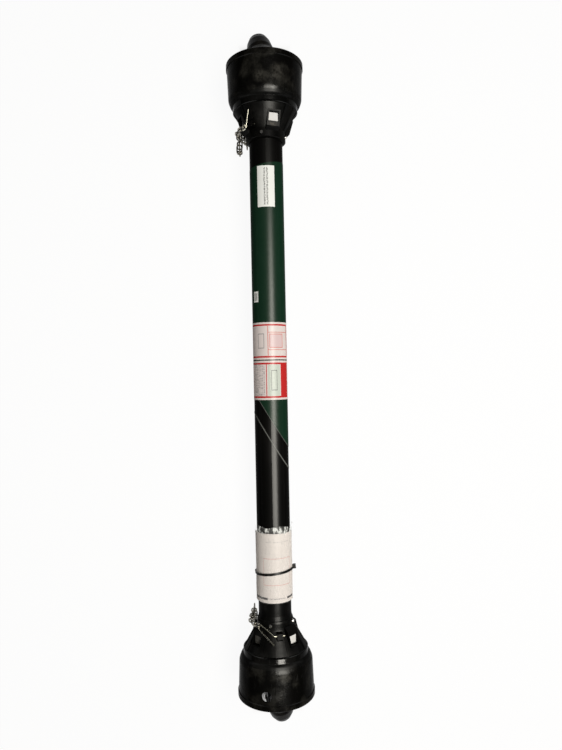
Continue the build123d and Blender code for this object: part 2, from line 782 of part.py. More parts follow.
def make_bearing_ring(end):
    """Nylon ring in the yoke's groove, with a lug in each window of the cone."""
    groove = end.hub_radius - GROOVE_DEPTH
    middle = WINDOW_INSET + WINDOW_LENGTH / 2
    width = GROOVE_LENGTH - 2 * RUNNING
    with BuildPart() as ring:
        with BuildSketch(station(end, GROOVE_INSET + width / 2)):
            Circle(RING_OUTER_RADIUS)
        extrude(amount=width)
        for k in range(WINDOW_COUNT):
            turn = end.cone_turn + k * 360 / WINDOW_COUNT
            with BuildSketch(spoke(end, middle, turn, LUG_ROOT_RADIUS)):
                Rectangle(WINDOW_LENGTH - 2 * FIT, WINDOW_WIDTH - 2 * FIT)
            extrude(amount=LUG_FACE_RADIUS - LUG_ROOT_RADIUS)
            with BuildSketch(spoke(end, GROOVE_INSET, turn, end.hub_radius)):
                Rectangle(width, WINDOW_WIDTH - 2 * FIT)
            extrude(amount=LUG_ROOT_RADIUS - end.hub_radius + 1)
        with BuildSketch(station(end, GROOVE_INSET + GROOVE_LENGTH)):
            Circle(groove + RUNNING)
        extrude(amount=2 * GROOVE_LENGTH, mode=Mode.SUBTRACT)
    return ring


def link_solid():
    """One chain link: six-sided wire bent to a long ring, lying flat along x."""
    reach = (LINK_LENGTH - WIRE) / 2
    half = (LINK_WIDTH - WIRE) / 2
    straight = reach - half
    slant = half * sin(pi / 4)
    corner = [(straight, half), (straight + slant, slant), (reach, 0)]
    ring = corner + [(x, -y) for x, y in corner[1::-1]]
    ring += [(-x, -y) for x, y in corner] + [(-x, y) for x, y in corner[1::-1]]
    with BuildPart() as link:
        with BuildLine() as path:
            Polyline(*ring[:-1], ring[-1], close=True)
        with BuildSketch(Plane((0, half, 0), x_dir=(0, 1, 0), z_dir=(1, 0, 0))):
            RegularPolygon(WIRE / 2, 6)
        sweep(path=path.wires()[0], transition=Transition.RIGHT)
    return link.part


def hang_path(end):
    """Path of the hanging chain, from the hank up the shaft's side and over it."""
    chain = CHAINS[end.name]
    foot = Vector(along(end, chain.hang_inset), chain.near_column, hang_foot_height())
    centre = Vector(along(end, chain.hang_inset), 0, AXIS_HEIGHT)
    lift = foot - centre
    reach = hypot(lift.Y, lift.Z)
    touch = degrees(atan2(lift.Z, lift.Y)) + degrees(acos(chain.hang_radius / reach))
    with BuildLine(Plane(centre, x_dir=(0, 1, 0), z_dir=(1, 0, 0))) as path:
        arc = CenterArc((0, 0), chain.hang_radius, touch, chain.hang_turn)
        Line((lift.Y, lift.Z), arc @ 0)
    return path.wires()[0]


def hang_joints(end):
    """Joints of the hanging chain, evenly spaced from the hank up its path."""
    path = hang_path(end)
    count = int(path.length // LINK_PITCH) + 1
    return [path.position_at(k * LINK_PITCH / path.length) for k in range(count)]


def hang_foot_height():
    """Height of the joint above the link that stands in the hank."""
    return UPPER_LAYER + LINK_LENGTH - WIRE - JOINT_SLACK


def place(centre, ahead, normal):
    """Plane that carries one link: along ahead, lying square to normal."""
    return Plane(centre, x_dir=ahead, z_dir=normal)


def chain_links(end):
    """Planes of every link: the hanging links, then the folded hank on the ground."""
    chain = CHAINS[end.name]
    out = Vector(end.side, 0, 0)
    side = Vector(0, 1, 0)
    up = Vector(0, 0, 1)
    hang_x = along(end, chain.hang_inset)
    reach = (LINK_LENGTH - WIRE) / 2
    hook_in = reach - WIRE - JOINT_PLAY

    foot = Vector(hang_x, chain.near_column, UPPER_LAYER)
    links = [place(foot + up * reach, up, out)]
    joints = hang_joints(end)
    for k, (low, high) in enumerate(zip(joints, joints[1:])):
        ahead = (high - low).normalized()
        links.append(place((low + high) / 2, ahead, out if k % 2 else ahead.cross(out)))

    def run(start, count, heading, column, layer, upright):
        """A straight run of links; returns the centre of its last link."""
        centre = start
        for k in range(count):
            normal = side if upright == (k % 2 == 0) else up
            links.append(place(Vector(centre, column, layer), out, normal))
            centre += heading * LINK_PITCH * end.side
        return centre - heading * LINK_PITCH * end.side

    far = chain.far_column
    near = chain.near_column
    middle_column = (near + far) / 2
    middle_layer = (UPPER_LAYER + LOWER_LAYER) / 2
    first = run(hang_x + end.side * hook_in, 2, 1, near, UPPER_LAYER, True)
    fold = first + end.side * hook_in
    links.append(place(Vector(fold, middle_column, UPPER_LAYER), side, out))
    second = run(first, chain.long_run, -1, far, UPPER_LAYER, False)
    turn_down = second - end.side * hook_in
    links.append(place(Vector(turn_down, far, middle_layer), up, out))
    third = run(second, chain.long_run, 1, far, LOWER_LAYER, True)
    links.append(place(Vector(third + end.side * hook_in, middle_column, LOWER_LAYER), side, out))
    run(third, chain.last_run, -1, near, LOWER_LAYER, False)
    return links


def make_chain(end):
    """Safety chain: links that hang from the hook and end in a folded hank."""
    one = link_solid()
    with BuildPart() as chain:
        for seat in chain_links(end):
            with Locations(seat.location):
                add(one)
    return chain


def make_hook(end):
    """Bent wire clip: through the cone's lug, round the chain's last link and back."""
    chain = CHAINS[end.name]
    last = chain_links(end)[len(hang_joints(end)) - 1]
    ahead = last.x_dir if last.x_dir.Z > 0 else last.x_dir * -1
    reach = (LINK_LENGTH - WIRE) / 2
    bend = last.origin + ahead * (reach - (WIRE + HOOK_WIRE) / 2 - JOINT_PLAY)
    inset, radius = lug_hole_centre()
    lug_turn = end.cone_turn + LUG_TURN
    lug = spoke(end, inset, lug_turn, radius)
    across = Vector(0, 1, 0) - lug.z_dir * lug.z_dir.Y
    across = across.normalized()
    free_radius = cone_flank(chain.free_inset) + chain.free_clearance
    free = spoke(end, chain.free_inset, chain.free_turn, free_radius).origin
    outboard = Vector(end.side, 0, 0)
    near_corner = bend + outboard * HOOK_HALF_WIDTH
    far_corner = bend - outboard * HOOK_HALF_WIDTH
    if chain.hook_along:
        corners = [near_corner, far_corner, far_corner + ahead * 2 * HOOK_HALF_WIDTH]
    else:
        corners = [far_corner, near_corner]
    points = [
        lug.origin - across * (LUG_WIDTH / 2 + HOOK_TAIL),
        lug.origin + across * (LUG_WIDTH / 2 + 1.5 * HOOK_TAIL),
        *corners,
        free,
    ]
    with BuildPart() as hook:
        with BuildLine() as path:
            FilletPolyline(*points, radius=[HOOK_WIRE] + [HOOK_BEND] * len(corners))
        with BuildSketch(Plane(path.line @ 0, z_dir=path.line % 0)):
            Circle(HOOK_WIRE / 2)
        sweep(path=path.line)
    return hook


def arc_sleeve(inner, thickness, half_wrap, start, finish):
    """Part of a tube round the top of the guard, between two places along X."""
    with BuildPart() as sleeve:
        with BuildSketch(Plane((start, 0, AXIS_HEIGHT), x_dir=(0, 0, 1), z_dir=(1, 0, 0))):
            with BuildLine():
                outer = CenterArc((0, 0), inner + thickness, -half_wrap, 2 * half_wrap)
                near = CenterArc((0, 0), inner, -half_wrap, 2 * half_wrap)
                Line(outer @ 0, near @ 0)
                Line(outer @ 1, near @ 1)
            make_face()
        extrude(amount=finish - start)
    return sleeve


def make_tie():
    """Cable tie round tube, booklet and bag, with its square head at one side."""
    bag_outside = GUARD_RADIUS_OUTER + SOFT_GAP * 2 + BOOKLET_THICKNESS + BAG_THICKNESS
    centre = (along(END_B, TIE_INSET), 0, AXIS_HEIGHT)
    slant = radians(TIE_SLANT)
    sway = TIE_WIDTH / 2 * sin(slant)
    inside = (bag_outside + sway) / cos(slant) + SOFT_GAP / 3
    seat = Plane(centre, x_dir=(0, 0, 1), z_dir=(cos(slant), sin(slant), 0))
    wrap = BAG_HALF_WRAP + 1
    with BuildSketch() as ring:
        with BuildLine():
            CenterArc((0, 0), inside, -wrap, 2 * wrap)
        make_hull()
        Circle((GUARD_RADIUS_OUTER + sway) / cos(slant) + SOFT_GAP / 3)
        make_hull()
    with BuildPart() as tie:
        with BuildSketch(seat.offset(-TIE_WIDTH / 2)):
            add(offset(ring.sketch, TIE_THICKNESS, mode=Mode.PRIVATE))
            add(ring.sketch, mode=Mode.SUBTRACT)
        extrude(amount=TIE_WIDTH)
        head = Plane(seat.origin, x_dir=seat.z_dir, z_dir=seat.y_dir).offset(inside + TIE_THICKNESS / 2)
        with BuildSketch(head):
            Rectangle(TIE_HEAD, TIE_HEAD)
        extrude(amount=TIE_HEAD * 0.7)
    return tie


def write(piece, name):
    """Label a piece and write it under its own name."""
    piece.part.label = name
    export_step(piece.part, f"parts/{name}.step")


write(
    make_guard_tube(END_A, GUARD_RADIUS_OUTER - GUARD_WALL, OUTER_TUBE_START, OUTER_TUBE_FINISH),
    "guard_tube_outer",
)
write(
    make_guard_tube(END_B, GUARD_RADIUS_INNER - GUARD_WALL, INNER_TUBE_START, INNER_TUBE_FINISH),
    "guard_tube_inner",
)
write(
    make_profile_tube(OUTER_PROFILE_START, OUTER_PROFILE_FINISH, 0, along(END_A, ROLL_PIN_INSET)),
    "profile_tube_outer",
)
write(
    make_profile_tube(INNER_PROFILE_START, INNER_PROFILE_FINISH, INNER_SHRINK, along(END_B, ROLL_PIN_INSET)),
    "profile_tube_inner",
)

for end, shrink in ((END_A, 0), (END_B, INNER_SHRINK)):
    write(make_bell(end), f"bell_{end.name}")
    write(make_cone(end), f"cone_{end.name}")
    write(make_bearing_ring(end), f"bearing_ring_{end.name}")
    write(make_screws(end), f"collar_screws_{end.name}")
    write(make_tube_yoke(end, shrink), f"tube_yoke_{end.name}")
    write(make_roll_pin(end), f"roll_pin_{end.name}")
    write(make_cups(tube_seat(end)), f"tube_cups_{end.name}")
    write(make_snap_rings(tube_seat(end)), f"tube_snap_rings_{end.name}")
    write(make_cross(end), f"cross_{end.name}")
    write(make_seals(end), f"cross_seals_{end.name}")
    write(make_nipple(end), f"grease_nipple_{end.name}")
    write(make_end_yoke(end), f"end_yoke_{end.name}")
    write(make_cups(end_seat(end)), f"end_cups_{end.name}")
    write(make_snap_rings(end_seat(end)), f"end_snap_rings_{end.name}")
    write(make_push_pin(end), f"push_pin_{end.name}")
    write(make_pin_spring(end), f"pin_spring_{end.name}")
    write(make_pin_cap(end), f"pin_cap_{end.name}")
    write(make_chain(end), f"chain_{end.name}")
    write(make_hook(end), f"chain_hook_{end.name}")

booklet_start = along(END_B, BOOKLET_INSET)
booklet_inside = GUARD_RADIUS_OUTER + SOFT_GAP
write(
    arc_sleeve(
        booklet_inside, BOOKLET_THICKNESS, BOOKLET_HALF_WRAP, booklet_start, booklet_start + BOOKLET_LENGTH
    ),
    "manual_booklet",
)
write(
    arc_sleeve(
        booklet_inside + BOOKLET_THICKNESS + SOFT_GAP,
        BAG_THICKNESS,
        BAG_HALF_WRAP,
        booklet_start,
        booklet_start + BOOKLET_LENGTH + BAG_PROUD,
    ),
    "manual_bag",
)
write(make_tie(), "cable_tie")
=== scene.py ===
"""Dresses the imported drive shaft: lights, camera, finishes, labels, booklet and chains."""

from __future__ import annotations

import logging
from dataclasses import dataclass
from enum import Enum
from math import acos, atan2, cos, hypot, radians, sin, tau
from typing import Callable, Sequence

import bmesh
import bpy
from mathutils import Matrix, Vector


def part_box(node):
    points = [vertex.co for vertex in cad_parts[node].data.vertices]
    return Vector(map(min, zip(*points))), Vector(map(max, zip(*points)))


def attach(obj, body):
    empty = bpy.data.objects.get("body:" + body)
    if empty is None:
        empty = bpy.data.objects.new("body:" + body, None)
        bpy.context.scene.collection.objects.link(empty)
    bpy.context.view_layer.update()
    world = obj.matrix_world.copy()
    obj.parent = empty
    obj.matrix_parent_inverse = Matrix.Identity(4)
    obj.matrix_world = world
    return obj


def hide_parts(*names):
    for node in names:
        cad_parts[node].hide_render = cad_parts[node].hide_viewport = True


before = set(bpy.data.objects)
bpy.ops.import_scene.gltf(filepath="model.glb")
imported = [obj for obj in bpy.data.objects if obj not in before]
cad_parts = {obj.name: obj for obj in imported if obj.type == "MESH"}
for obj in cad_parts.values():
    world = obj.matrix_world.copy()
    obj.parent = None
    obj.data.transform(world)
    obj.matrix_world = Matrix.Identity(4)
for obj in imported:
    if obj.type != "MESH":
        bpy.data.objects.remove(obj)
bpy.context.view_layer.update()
LOG = logging.getLogger("shaft")

Colour = tuple[float, float, float]
Edge = Callable[[float], float]
Ripple = Callable[[float, float], float]
Socket = bpy.types.NodeSocket
MM = 0.001
AXIS_HEIGHT = 83 * MM
RIM = 677 * MM
TUBE_RADIUS = 36 * MM


class End(Enum):
    """The two ends of the shaft, with the side of the frame each one lies on."""

    A = 1
    B = -1

    @property
    def tag(self) -> str:
        """Letter that ends the names of this end's nodes."""
        return self.name.lower()

    def along(self, inset: float) -> float:
        """X of a point so far inboard of this end's rim, in metres."""
        return self.value * (RIM - inset)


# Node helpers
class Nodes:
    """Short calls for building a node tree."""

    def __init__(self, tree: bpy.types.NodeTree) -> None:
        """Starts from an empty tree.

        Args:
            tree: the tree to fill.
        """
        self.tree = tree
        tree.nodes.clear()

    def add(self, kind: str, **settings: object) -> bpy.types.Node:
        """Adds a node.

        Args:
            kind: the node's type name.
            settings: attributes to set on it.

        Returns:
            The new node.
        """
        node = self.tree.nodes.new(kind)
        for name, value in settings.items():
            setattr(node, name, value)
        return node

    def link(self, source: Socket, target: Socket) -> None:
        """Joins an output to an input."""
        self.tree.links.new(source, target)

    def feed(self, value: object, target: Socket) -> None:
        """Sets an input to a number or colour, or links it to a socket.

        Args:
            value: the number, colour or socket.
            target: the input.
        """
        if isinstance(value, Socket):
            self.link(value, target)
        else:
            target.default_value = value

    def maths(self, operation: str, a: object, b: object = 0.0, clamp: bool = False) -> Socket:
        """Adds a Math node.

        Args:
            operation: the node's operation.
            a: the first value or socket.
            b: the second value or socket.
            clamp: whether the result is held between 0 and 1.

        Returns:
            The node's output.
        """
        node = self.add("ShaderNodeMath", operation=operation, use_clamp=clamp)
        self.feed(a, node.inputs[0])
        self.feed(b, node.inputs[1])
        return node.outputs[0]

    def noise(self, vector: object, scale: object, detail: float, rough: float) -> Socket:
        """Adds a noise texture.

        Args:
            vector: the place.
            scale: how fine the noise is.
            detail: number of finer layers.
            rough: weight of the finer layers.

        Returns:
            The noise's value.
        """
        node = self.add("ShaderNodeTexNoise")
        node.inputs["Detail"].default_value = detail
        node.inputs["Roughness"].default_value = rough
        self.feed(vector, node.inputs["Vector"])
        self.feed(scale, node.inputs["Scale"])
        return node.outputs["Fac"]

    def span(self, value: object, low: float, high: float, to_low: object, to_high: object) -> Socket:
        """Maps a value smoothly from one range to another.

        Args:
            value: the value.
            low: start of its range.
            high: end of its range.
            to_low: what the start becomes.
            to_high: what the end becomes.

        Returns:
            The mapped value.
        """
        node = self.add("ShaderNodeMapRange", interpolation_type="SMOOTHSTEP")
        self.feed(value, node.inputs["Value"])
        self.feed(low, node.inputs["From Min"])
        self.feed(high, node.inputs["From Max"])
        self.feed(to_low, node.inputs["To Min"])
        self.feed(to_high, node.inputs["To Max"])
        return node.outputs["Result"]

    def mix(self, mask: object, a: object, b: object) -> Socket:
        """Mixes two colours by a mask.

        Args:
            mask: share of the second colour.
            a: the first colour.
            b: the second colour.

        Returns:
            The mixed colour.
        """
        node = self.add("ShaderNodeMix", data_type="RGBA")
        self.feed(mask, node.inputs[0])
        self.feed(a, node.inputs[6])
        self.feed(b, node.inputs[7])
        return node.outputs[2]

    def place(
        self,
        scale: Sequence[float] = (1, 1, 1),
        turn: Sequence[float] = (0, 0, 0),
        shift: Sequence[float] = (0, 0, 0),
    ) -> Socket:
        """Adds object coordinates, stretched, turned and moved.

        Args:
            scale: stretch along each axis.
            turn: turn about each axis.
            shift: move along each axis.

        Returns:
            The coordinates.
        """
        source = self.add("ShaderNodeTexCoord")
        mapping = self.add("ShaderNodeMapping")
        mapping.inputs["Scale"].default_value = scale
        mapping.inputs["Rotation"].default_value = turn
        mapping.inputs["Location"].default_value = shift
        self.link(source.outputs["Object"], mapping.inputs["Vector"])
        return mapping.outputs["Vector"]

    def parts(self, vector: Socket) -> bpy.types.bpy_prop_collection:
        """Splits a vector.

        Args:
            vector: the vector.

        Returns:
            Its X, Y and Z, by name.
        """
        node = self.add("ShaderNodeSeparateXYZ")
        self.link(vector, node.inputs["Vector"])
        return node.outputs

    def chart(self) -> Socket:
        """The sheet's own map, with length and turn as shares."""
        return self.add("ShaderNodeUVMap", uv_map="UVMap").outputs["UV"]

    def rays(self, *kinds: str) -> Socket:
        """Adds a mask of some kinds of ray.

        Args:
            kinds: names of the Light Path node's outputs.

        Returns:
            The mask.
        """
        path = self.add("ShaderNodeLightPath")
        mask = path.outputs[kinds[0]]
        for kind in kinds[1:]:
            mask = self.maths("MAXIMUM", mask, path.outputs[kind])
        return mask

    def surface(self, output: str, mask: Socket, plain: bpy.types.Node, shown: bpy.types.Node) -> None:
        """Mixes two shaders by a mask and sends them to a new output node.

        Args:
            output: type name of the output node.
            mask: share of the second shader.
            plain: the first shader.
            shown: the second shader.
        """
        pick = self.add("ShaderNodeMixShader")
        for source, target in zip((mask, plain.outputs[0], shown.outputs[0]), pick.inputs):
            self.link(source, target)
        self.link(pick.outputs[0], self.add(output).inputs["Surface"])


def rgba(colour: Colour) -> tuple[float, float, float, float]:
    """A colour with full alpha."""
    return (*colour, 1.0)


class GroupNodes(Nodes):
    """A shader node group with named sockets, under construction."""

    number = "NodeSocketFloat"
    vector = "NodeSocketVector"

    def __init__(self, name: str, ins: dict[str, float | None], outs: Sequence[str]) -> None:
        """Starts the group with its sockets.

        Args:
            name: the group's name.
            ins: the inputs' default values, None for a vector.
            outs: the outputs' names; Normal is a vector and the rest are numbers.
        """
        super().__init__(bpy.data.node_groups.new(name, "ShaderNodeTree"))
        sockets = self.tree.interface
        for label, default in ins.items():
            kind = self.vector if default is None else self.number
            socket = sockets.new_socket(label, in_out="INPUT", socket_type=kind)
            if default is not None:
                socket.default_value = default
        for label in outs:
            kind = self.vector if label == "Normal" else self.number
            sockets.new_socket(label, in_out="OUTPUT", socket_type=kind)
        self.entry = self.add("NodeGroupInput").outputs
        self.exit = self.add("NodeGroupOutput").inputs


class SharedGroups:
    """The effects that several finishes use, each built once."""

    def __init__(self) -> None:
        """Builds every group."""
        self.smear = self._smear()
        self.scratch = self._scratch()
        self.grain = self._grain()
        self.panel = self._panel()
        self.marks = self._marks()

    @staticmethod
    def _smear() -> bpy.types.NodeTree:
        """Cloudy wipe marks left by hands, oil and dust.

        Returns:
            A group that turns a place into a mask from 0 to 1.
        """
        n = GroupNodes("Handling smears", {"Vector": None, "Size": 20.0, "Amount": 0.5}, ["Mask", "Fine"])
        broad = n.noise(n.entry["Vector"], n.entry["Size"], 3.0, 0.5)
        fine_size = n.maths("MULTIPLY", n.entry["Size"], 6.0)
        fine = n.noise(n.entry["Vector"], fine_size, 5.0, 0.6)
        cloud = n.maths("MULTIPLY", n.span(broad, 0.42, 0.68, 0.0, 1.0), n.span(fine, 0.3, 0.7, 0.45, 1.0))
        n.link(n.maths("MULTIPLY", cloud, n.entry["Amount"], True), n.exit["Mask"])
        n.link(fine, n.exit["Fine"])
        return n.tree

    @staticmethod
    def _scratch() -> bpy.types.NodeTree:
        """Thin scuffs that run in two directions.

        Returns:
            A group that turns a place into a mask from 0 to 1.
        """
        n = GroupNodes("Fine scuffs", {"Vector": None, "Density": 60.0, "Amount": 0.5}, ["Mask"])
        masks = []
        for turn in (0.35, -0.9):
            mapping = n.add("ShaderNodeMapping")
            mapping.inputs["Rotation"].default_value = (turn, 0.4 * turn, turn)
            mapping.inputs["Scale"].default_value = (0.06, 1.0, 1.0)
            n.link(n.entry["Vector"], mapping.inputs["Vector"])
            size = n.maths("MULTIPLY", n.entry["Density"], 8.0)
            masks.append(n.span(n.noise(mapping.outputs["Vector"], size, 2.0, 0.4), 0.66, 0.72, 0.0, 1.0))
        both = n.maths("MAXIMUM", *masks)
        patch = n.span(n.noise(n.entry["Vector"], 14.0, 2.0, 0.5), 0.5, 0.62, 0.0, 1.0)
        seen = n.maths("MULTIPLY", both, patch)
        n.link(n.maths("MULTIPLY", seen, n.entry["Amount"], True), n.exit["Mask"])
        return n.tree

    @staticmethod
    def _grain() -> bpy.types.NodeTree:
        """Shallow unevenness of a moulded, drawn or forged skin.

        Returns:
            A group that turns a place into a normal.
        """
        ins = {"Vector": None, "Coarse": 60.0, "Fine": 900.0, "Wave": 0.6, "Depth": 0.0002}
        n = GroupNodes("Skin unevenness", ins, ["Normal"])
        out = n.entry
        coarse = n.noise(out["Vector"], out["Coarse"], 2.0, 0.5)
        fine = n.noise(out["Vector"], out["Fine"], 3.0, 0.6)
        height = n.maths("ADD", n.maths("MULTIPLY", coarse, out["Wave"]), n.maths("MULTIPLY", fine, 0.12))
        bump = n.add("ShaderNodeBump")
        bump.inputs["Strength"].default_value = 1.0
        n.link(height, bump.inputs["Height"])
        n.link(out["Depth"], bump.inputs["Distance"])
        n.link(bump.outputs["Normal"], n.exit["Normal"])
        return n.tree

    @staticmethod
    def _panel() -> bpy.types.NodeTree:
        """A plain printed rectangle, filled or as a frame.

        Returns:
            A group that turns a place on a sheet into a mask.
        """
        ins = {"UV": None}
        for label, default in (("Middle", 0.5), ("Half", 0.4), ("Line", 1.0)):
            ins |= {f"{label} U": default, f"{label} V": default}
        n = GroupNodes("Printed panel", ins, ["Mask"])
        out = n.entry
        split = n.parts(out["UV"])
        inside, core = [], []
        for axis, source in (("U", split["X"]), ("V", split["Y"])):
            away = n.maths("ABSOLUTE", n.maths("SUBTRACT", source, out[f"Middle {axis}"]))
            inside.append(n.maths("LESS_THAN", away, out[f"Half {axis}"]))
            inner = n.maths("SUBTRACT", out[f"Half {axis}"], out[f"Line {axis}"])
            core.append(n.maths("LESS_THAN", away, inner))
        whole = n.maths("MULTIPLY", *inside)
        hollow = n.maths("MULTIPLY", *core)
        n.link(n.maths("SUBTRACT", whole, hollow, True), n.exit["Mask"])
        return n.tree

    @staticmethod
    def _marks() -> bpy.types.NodeTree:
        """Irregular dark marks, as small print looks from far off.

        Returns:
            A group that turns a place on a sheet into a mask.
        """
        n = GroupNodes("Broken print", {"UV": None, "Along": 60.0, "Across": 60.0}, ["Mask"])
        join = n.add("ShaderNodeCombineXYZ")
        out = n.entry
        split = n.parts(out["UV"])
        for axis, stretch in (("X", "Along"), ("Y", "Across")):
            n.link(n.maths("MULTIPLY", split[axis], out[stretch]), join.inputs[axis])
        cloud = n.noise(join.outputs["Vector"], 1.0, 1.0, 0.5)
        n.link(n.span(cloud, 0.42, 0.58, 0.0, 1.0), n.exit["Mask"])
        return n.tree


# Finishes
class Skin:
    """A material under construction: its tree, its shader and the shared groups."""

    # Layer Weight's facing values between which dust dulls the gloss, and how softly a band ends
    slant = (0.04, 0.34)
    band_softness = 0.6 * MM

    def __init__(self, name: str, groups: SharedGroups) -> None:
        """Starts a material with a Principled shader.

        Args:
            name: the material's name.
            groups: the shared groups.
        """
        self.material = bpy.data.materials.new(name)
        self.material.use_nodes = True
        self.groups = groups
        self.nodes = Nodes(self.material.node_tree)
        self.shader = self.nodes.add("ShaderNodeBsdfPrincipled")
        output = self.nodes.add("ShaderNodeOutputMaterial")
        self.nodes.link(self.shader.outputs["BSDF"], output.inputs["Surface"])

    def group(self, tree: bpy.types.NodeTree, **values: object) -> bpy.types.Node:
        """Places a shared group with its own values.

        Args:
            tree: the group.
            values: input values or sockets; an underscore stands for a space.

        Returns:
            The group node.
        """
        node = self.nodes.add("ShaderNodeGroup", node_tree=tree)
        for name, value in values.items():
            self.nodes.feed(value, node.inputs[name.replace("_", " ")])
        return node

    def uneven(self, place: Socket, finish: Finish) -> Socket:
        """Places the shared unevenness with a finish's own values.

        Args:
            place: where on the skin.
            finish: the finish.

        Returns:
            The skin's normal.
        """
        values = {"Coarse": finish.coarse, "Fine": finish.fine, "Wave": finish.wave, "Depth": finish.depth}
        return self.group(self.groups.grain, Vector=place, **values).outputs["Normal"]

    def dusty_gloss(self, level: float, edge: float = 0.1) -> Socket:
        """Gloss that fades where the skin is seen at a slant, as dust makes it.

        Args:
            level: specular level where the skin faces the eye.
            edge: share of it that is left at a slant.

        Returns:
            The level's socket.
        """
        facing = self.nodes.add("ShaderNodeLayerWeight").outputs["Facing"]
        return self.nodes.span(facing, *self.slant, level, level * edge)

    def inset_band(self, start: float, end: float) -> Socket:
        """Mask of the skin between two distances inboard of the rims, in metres.

        Args:
            start: distance where the band starts.
            end: distance where it ends.

        Returns:
            The mask's socket.
        """
        n = self.nodes
        inset = n.maths("SUBTRACT", RIM, n.maths("ABSOLUTE", n.parts(n.place())["X"]))
        soft = self.band_softness
        rise = n.span(inset, start - soft, start + soft, 0.0, 1.0)
        return n.maths("MULTIPLY", rise, n.span(inset, end - soft, end + soft, 1.0, 0.0))

    def set(self, **values: object) -> None:
        """Sets or links the shader's inputs; an underscore stands for a space."""
        for name, value in values.items():
            self.nodes.feed(value, self.shader.inputs[name.replace("_", " ")])


@dataclass(frozen=True)
class Patch:
    """A rounded patch of colour at one place on a skin, in metres; the finishes use it for dust, painted
    highlight and painted shade.
    """

    middle: tuple[float, float, float]
    reach: tuple[float, float, float]
    colour: Colour
    amount: float = 0.8
    gaps: float = 0.25
    rim: tuple[float, float] = (0.35, 1.15)
    break_up: tuple[float, float] = (0.36, 0.6)

    def mask(self, nodes: Nodes) -> Socket:
        """Adds the patch's mask.

        Args:
            nodes: the material's nodes.

        Returns:
            The mask's socket.
        """
        scale = [1 / r for r in self.reach]
        away = nodes.add("ShaderNodeVectorMath", operation="LENGTH")
        nodes.link(nodes.place(scale, shift=[-c * k for c, k in zip(self.middle, scale)]), away.inputs[0])
        return nodes.span(away.outputs["Value"], *self.rim, self.amount, 0.0)


@dataclass(frozen=True)
class PlasticFinish:
    """Moulded or extruded plastic with smears, scuffs and an uneven skin."""

    name: str
    colour: Colour
    smear_colour: Colour
    roughness: float
    smear_roughness: float
    smear_size: float = 22.0
    smear_amount: float = 0.7
    scuffs: float = 0.3
    wave: float = 0.6
    coarse: float = 60.0
    depth: float = 0.0003
    ior: float = 1.46
    specular: float = 0.42
    stretch: tuple[float, float, float] = (1.0, 1.0, 1.0)
    edge: float = 0.1
    polished: tuple[float, float] | None = None
    polished_roughness: float = 0.14
    polished_specular: float = 0.75
    patches: tuple[Patch, ...] = ()
    smear_fade_heights: tuple[float, float] | None = None
    low_smear_share: float = 0.1
    fine: float = 1100.0
    scuff_density: float = 60.0
    scuff_roughness: float = 0.15
    scuff_gain: float = 3.0
    scuff_lift: float = 0.03

    def build(self, groups: SharedGroups) -> bpy.types.Material:
        """Makes the material.

        Args:
            groups: the shared groups.

        Returns:
            The new material.
        """
        skin = Skin(self.name, groups)
        n = skin.nodes
        place = n.place(self.stretch)
        amount = self.smear_amount
        # Fewer smears lower down, so the skin is darker towards the bottom.
        if self.smear_fade_heights:
            amount = n.span(n.parts(n.place())["Z"], *self.smear_fade_heights, self.low_smear_share * amount, amount)
        smear = skin.group(groups.smear, Vector=place, Size=self.smear_size, Amount=amount)
        scuff = skin.group(groups.scratch, Vector=place, Density=self.scuff_density, Amount=self.scuffs)
        tone = n.mix(smear.outputs["Mask"], rgba(self.colour), rgba(self.smear_colour))
        pale = tuple(min(1.0, self.scuff_gain * c + self.scuff_lift) for c in self.colour)
        tone = n.mix(scuff.outputs["Mask"], tone, rgba(pale))
        for patch in self.patches:
            broken = n.span(smear.outputs["Fine"], *patch.break_up, patch.gaps, 1.0)
            tone = n.mix(n.maths("MULTIPLY", patch.mask(n), broken), tone, rgba(patch.colour))
        rough = n.span(smear.outputs["Mask"], 0.0, 1.0, self.roughness, self.smear_roughness)
        rough = n.maths("ADD", rough, n.maths("MULTIPLY", scuff.outputs["Mask"], self.scuff_roughness), True)
        gloss = skin.dusty_gloss(self.specular, self.edge)
        if self.polished:
            shiny = skin.inset_band(*self.polished)
            rough = n.span(shiny, 0.0, 1.0, rough, self.polished_roughness)
            gloss = n.span(shiny, 0.0, 1.0, gloss, skin.dusty_gloss(self.polished_specular, self.edge))
        skin.shader.inputs["Specular IOR Level"].default_value = self.specular
        skin.set(
            Base_Color=tone,
            Roughness=rough,
            IOR=self.ior,
            Specular_IOR_Level=gloss,
            Normal=skin.uneven(place, self),
        )
        return skin.material


@dataclass(frozen=True)
class MetalFinish:
    """Bare, plated or painted metal with cloudy tarnish and scuffs."""

    name: str
    colour: Colour
    stain: Colour
    roughness: float
    stain_roughness: float
    metallic: float = 1.0
    stain_size: float = 45.0
    stain_amount: float = 0.8
    scuffs: float = 0.4
    scuff_colour: Colour = (0.75, 0.74, 0.72)
    depth: float = 0.0002
    coarse: float = 140.0
    specular: float = 0.4
    wave: float = 0.7
    fine: float = 1500.0
    scuff_density: float = 90.0

    def build(self, groups: SharedGroups) -> bpy.types.Material:
        """Makes the material.

        Args:
            groups: the shared groups.

        Returns:
            The new material.
        """
        skin = Skin(self.name, groups)
        n = skin.nodes
        place = n.place()
        smear = skin.group(groups.smear, Vector=place, Size=self.stain_size, Amount=self.stain_amount)
        scuff = skin.group(groups.scratch, Vector=place, Density=self.scuff_density, Amount=self.scuffs)
        tone = n.mix(smear.outputs["Mask"], rgba(self.colour), rgba(self.stain))
        tone = n.mix(scuff.outputs["Mask"], tone, rgba(self.scuff_colour))
        rough = n.span(smear.outputs["Mask"], 0.0, 1.0, self.roughness, self.stain_roughness)
        skin.set(Base_Color=tone, Roughness=rough, Metallic=self.metallic, Normal=skin.uneven(place, self))
        if not self.metallic:
            skin.shader.inputs["Specular IOR Level"].default_value = self.specular
            skin.set(Specular_IOR_Level=skin.dusty_gloss(self.specular))
        return skin.material


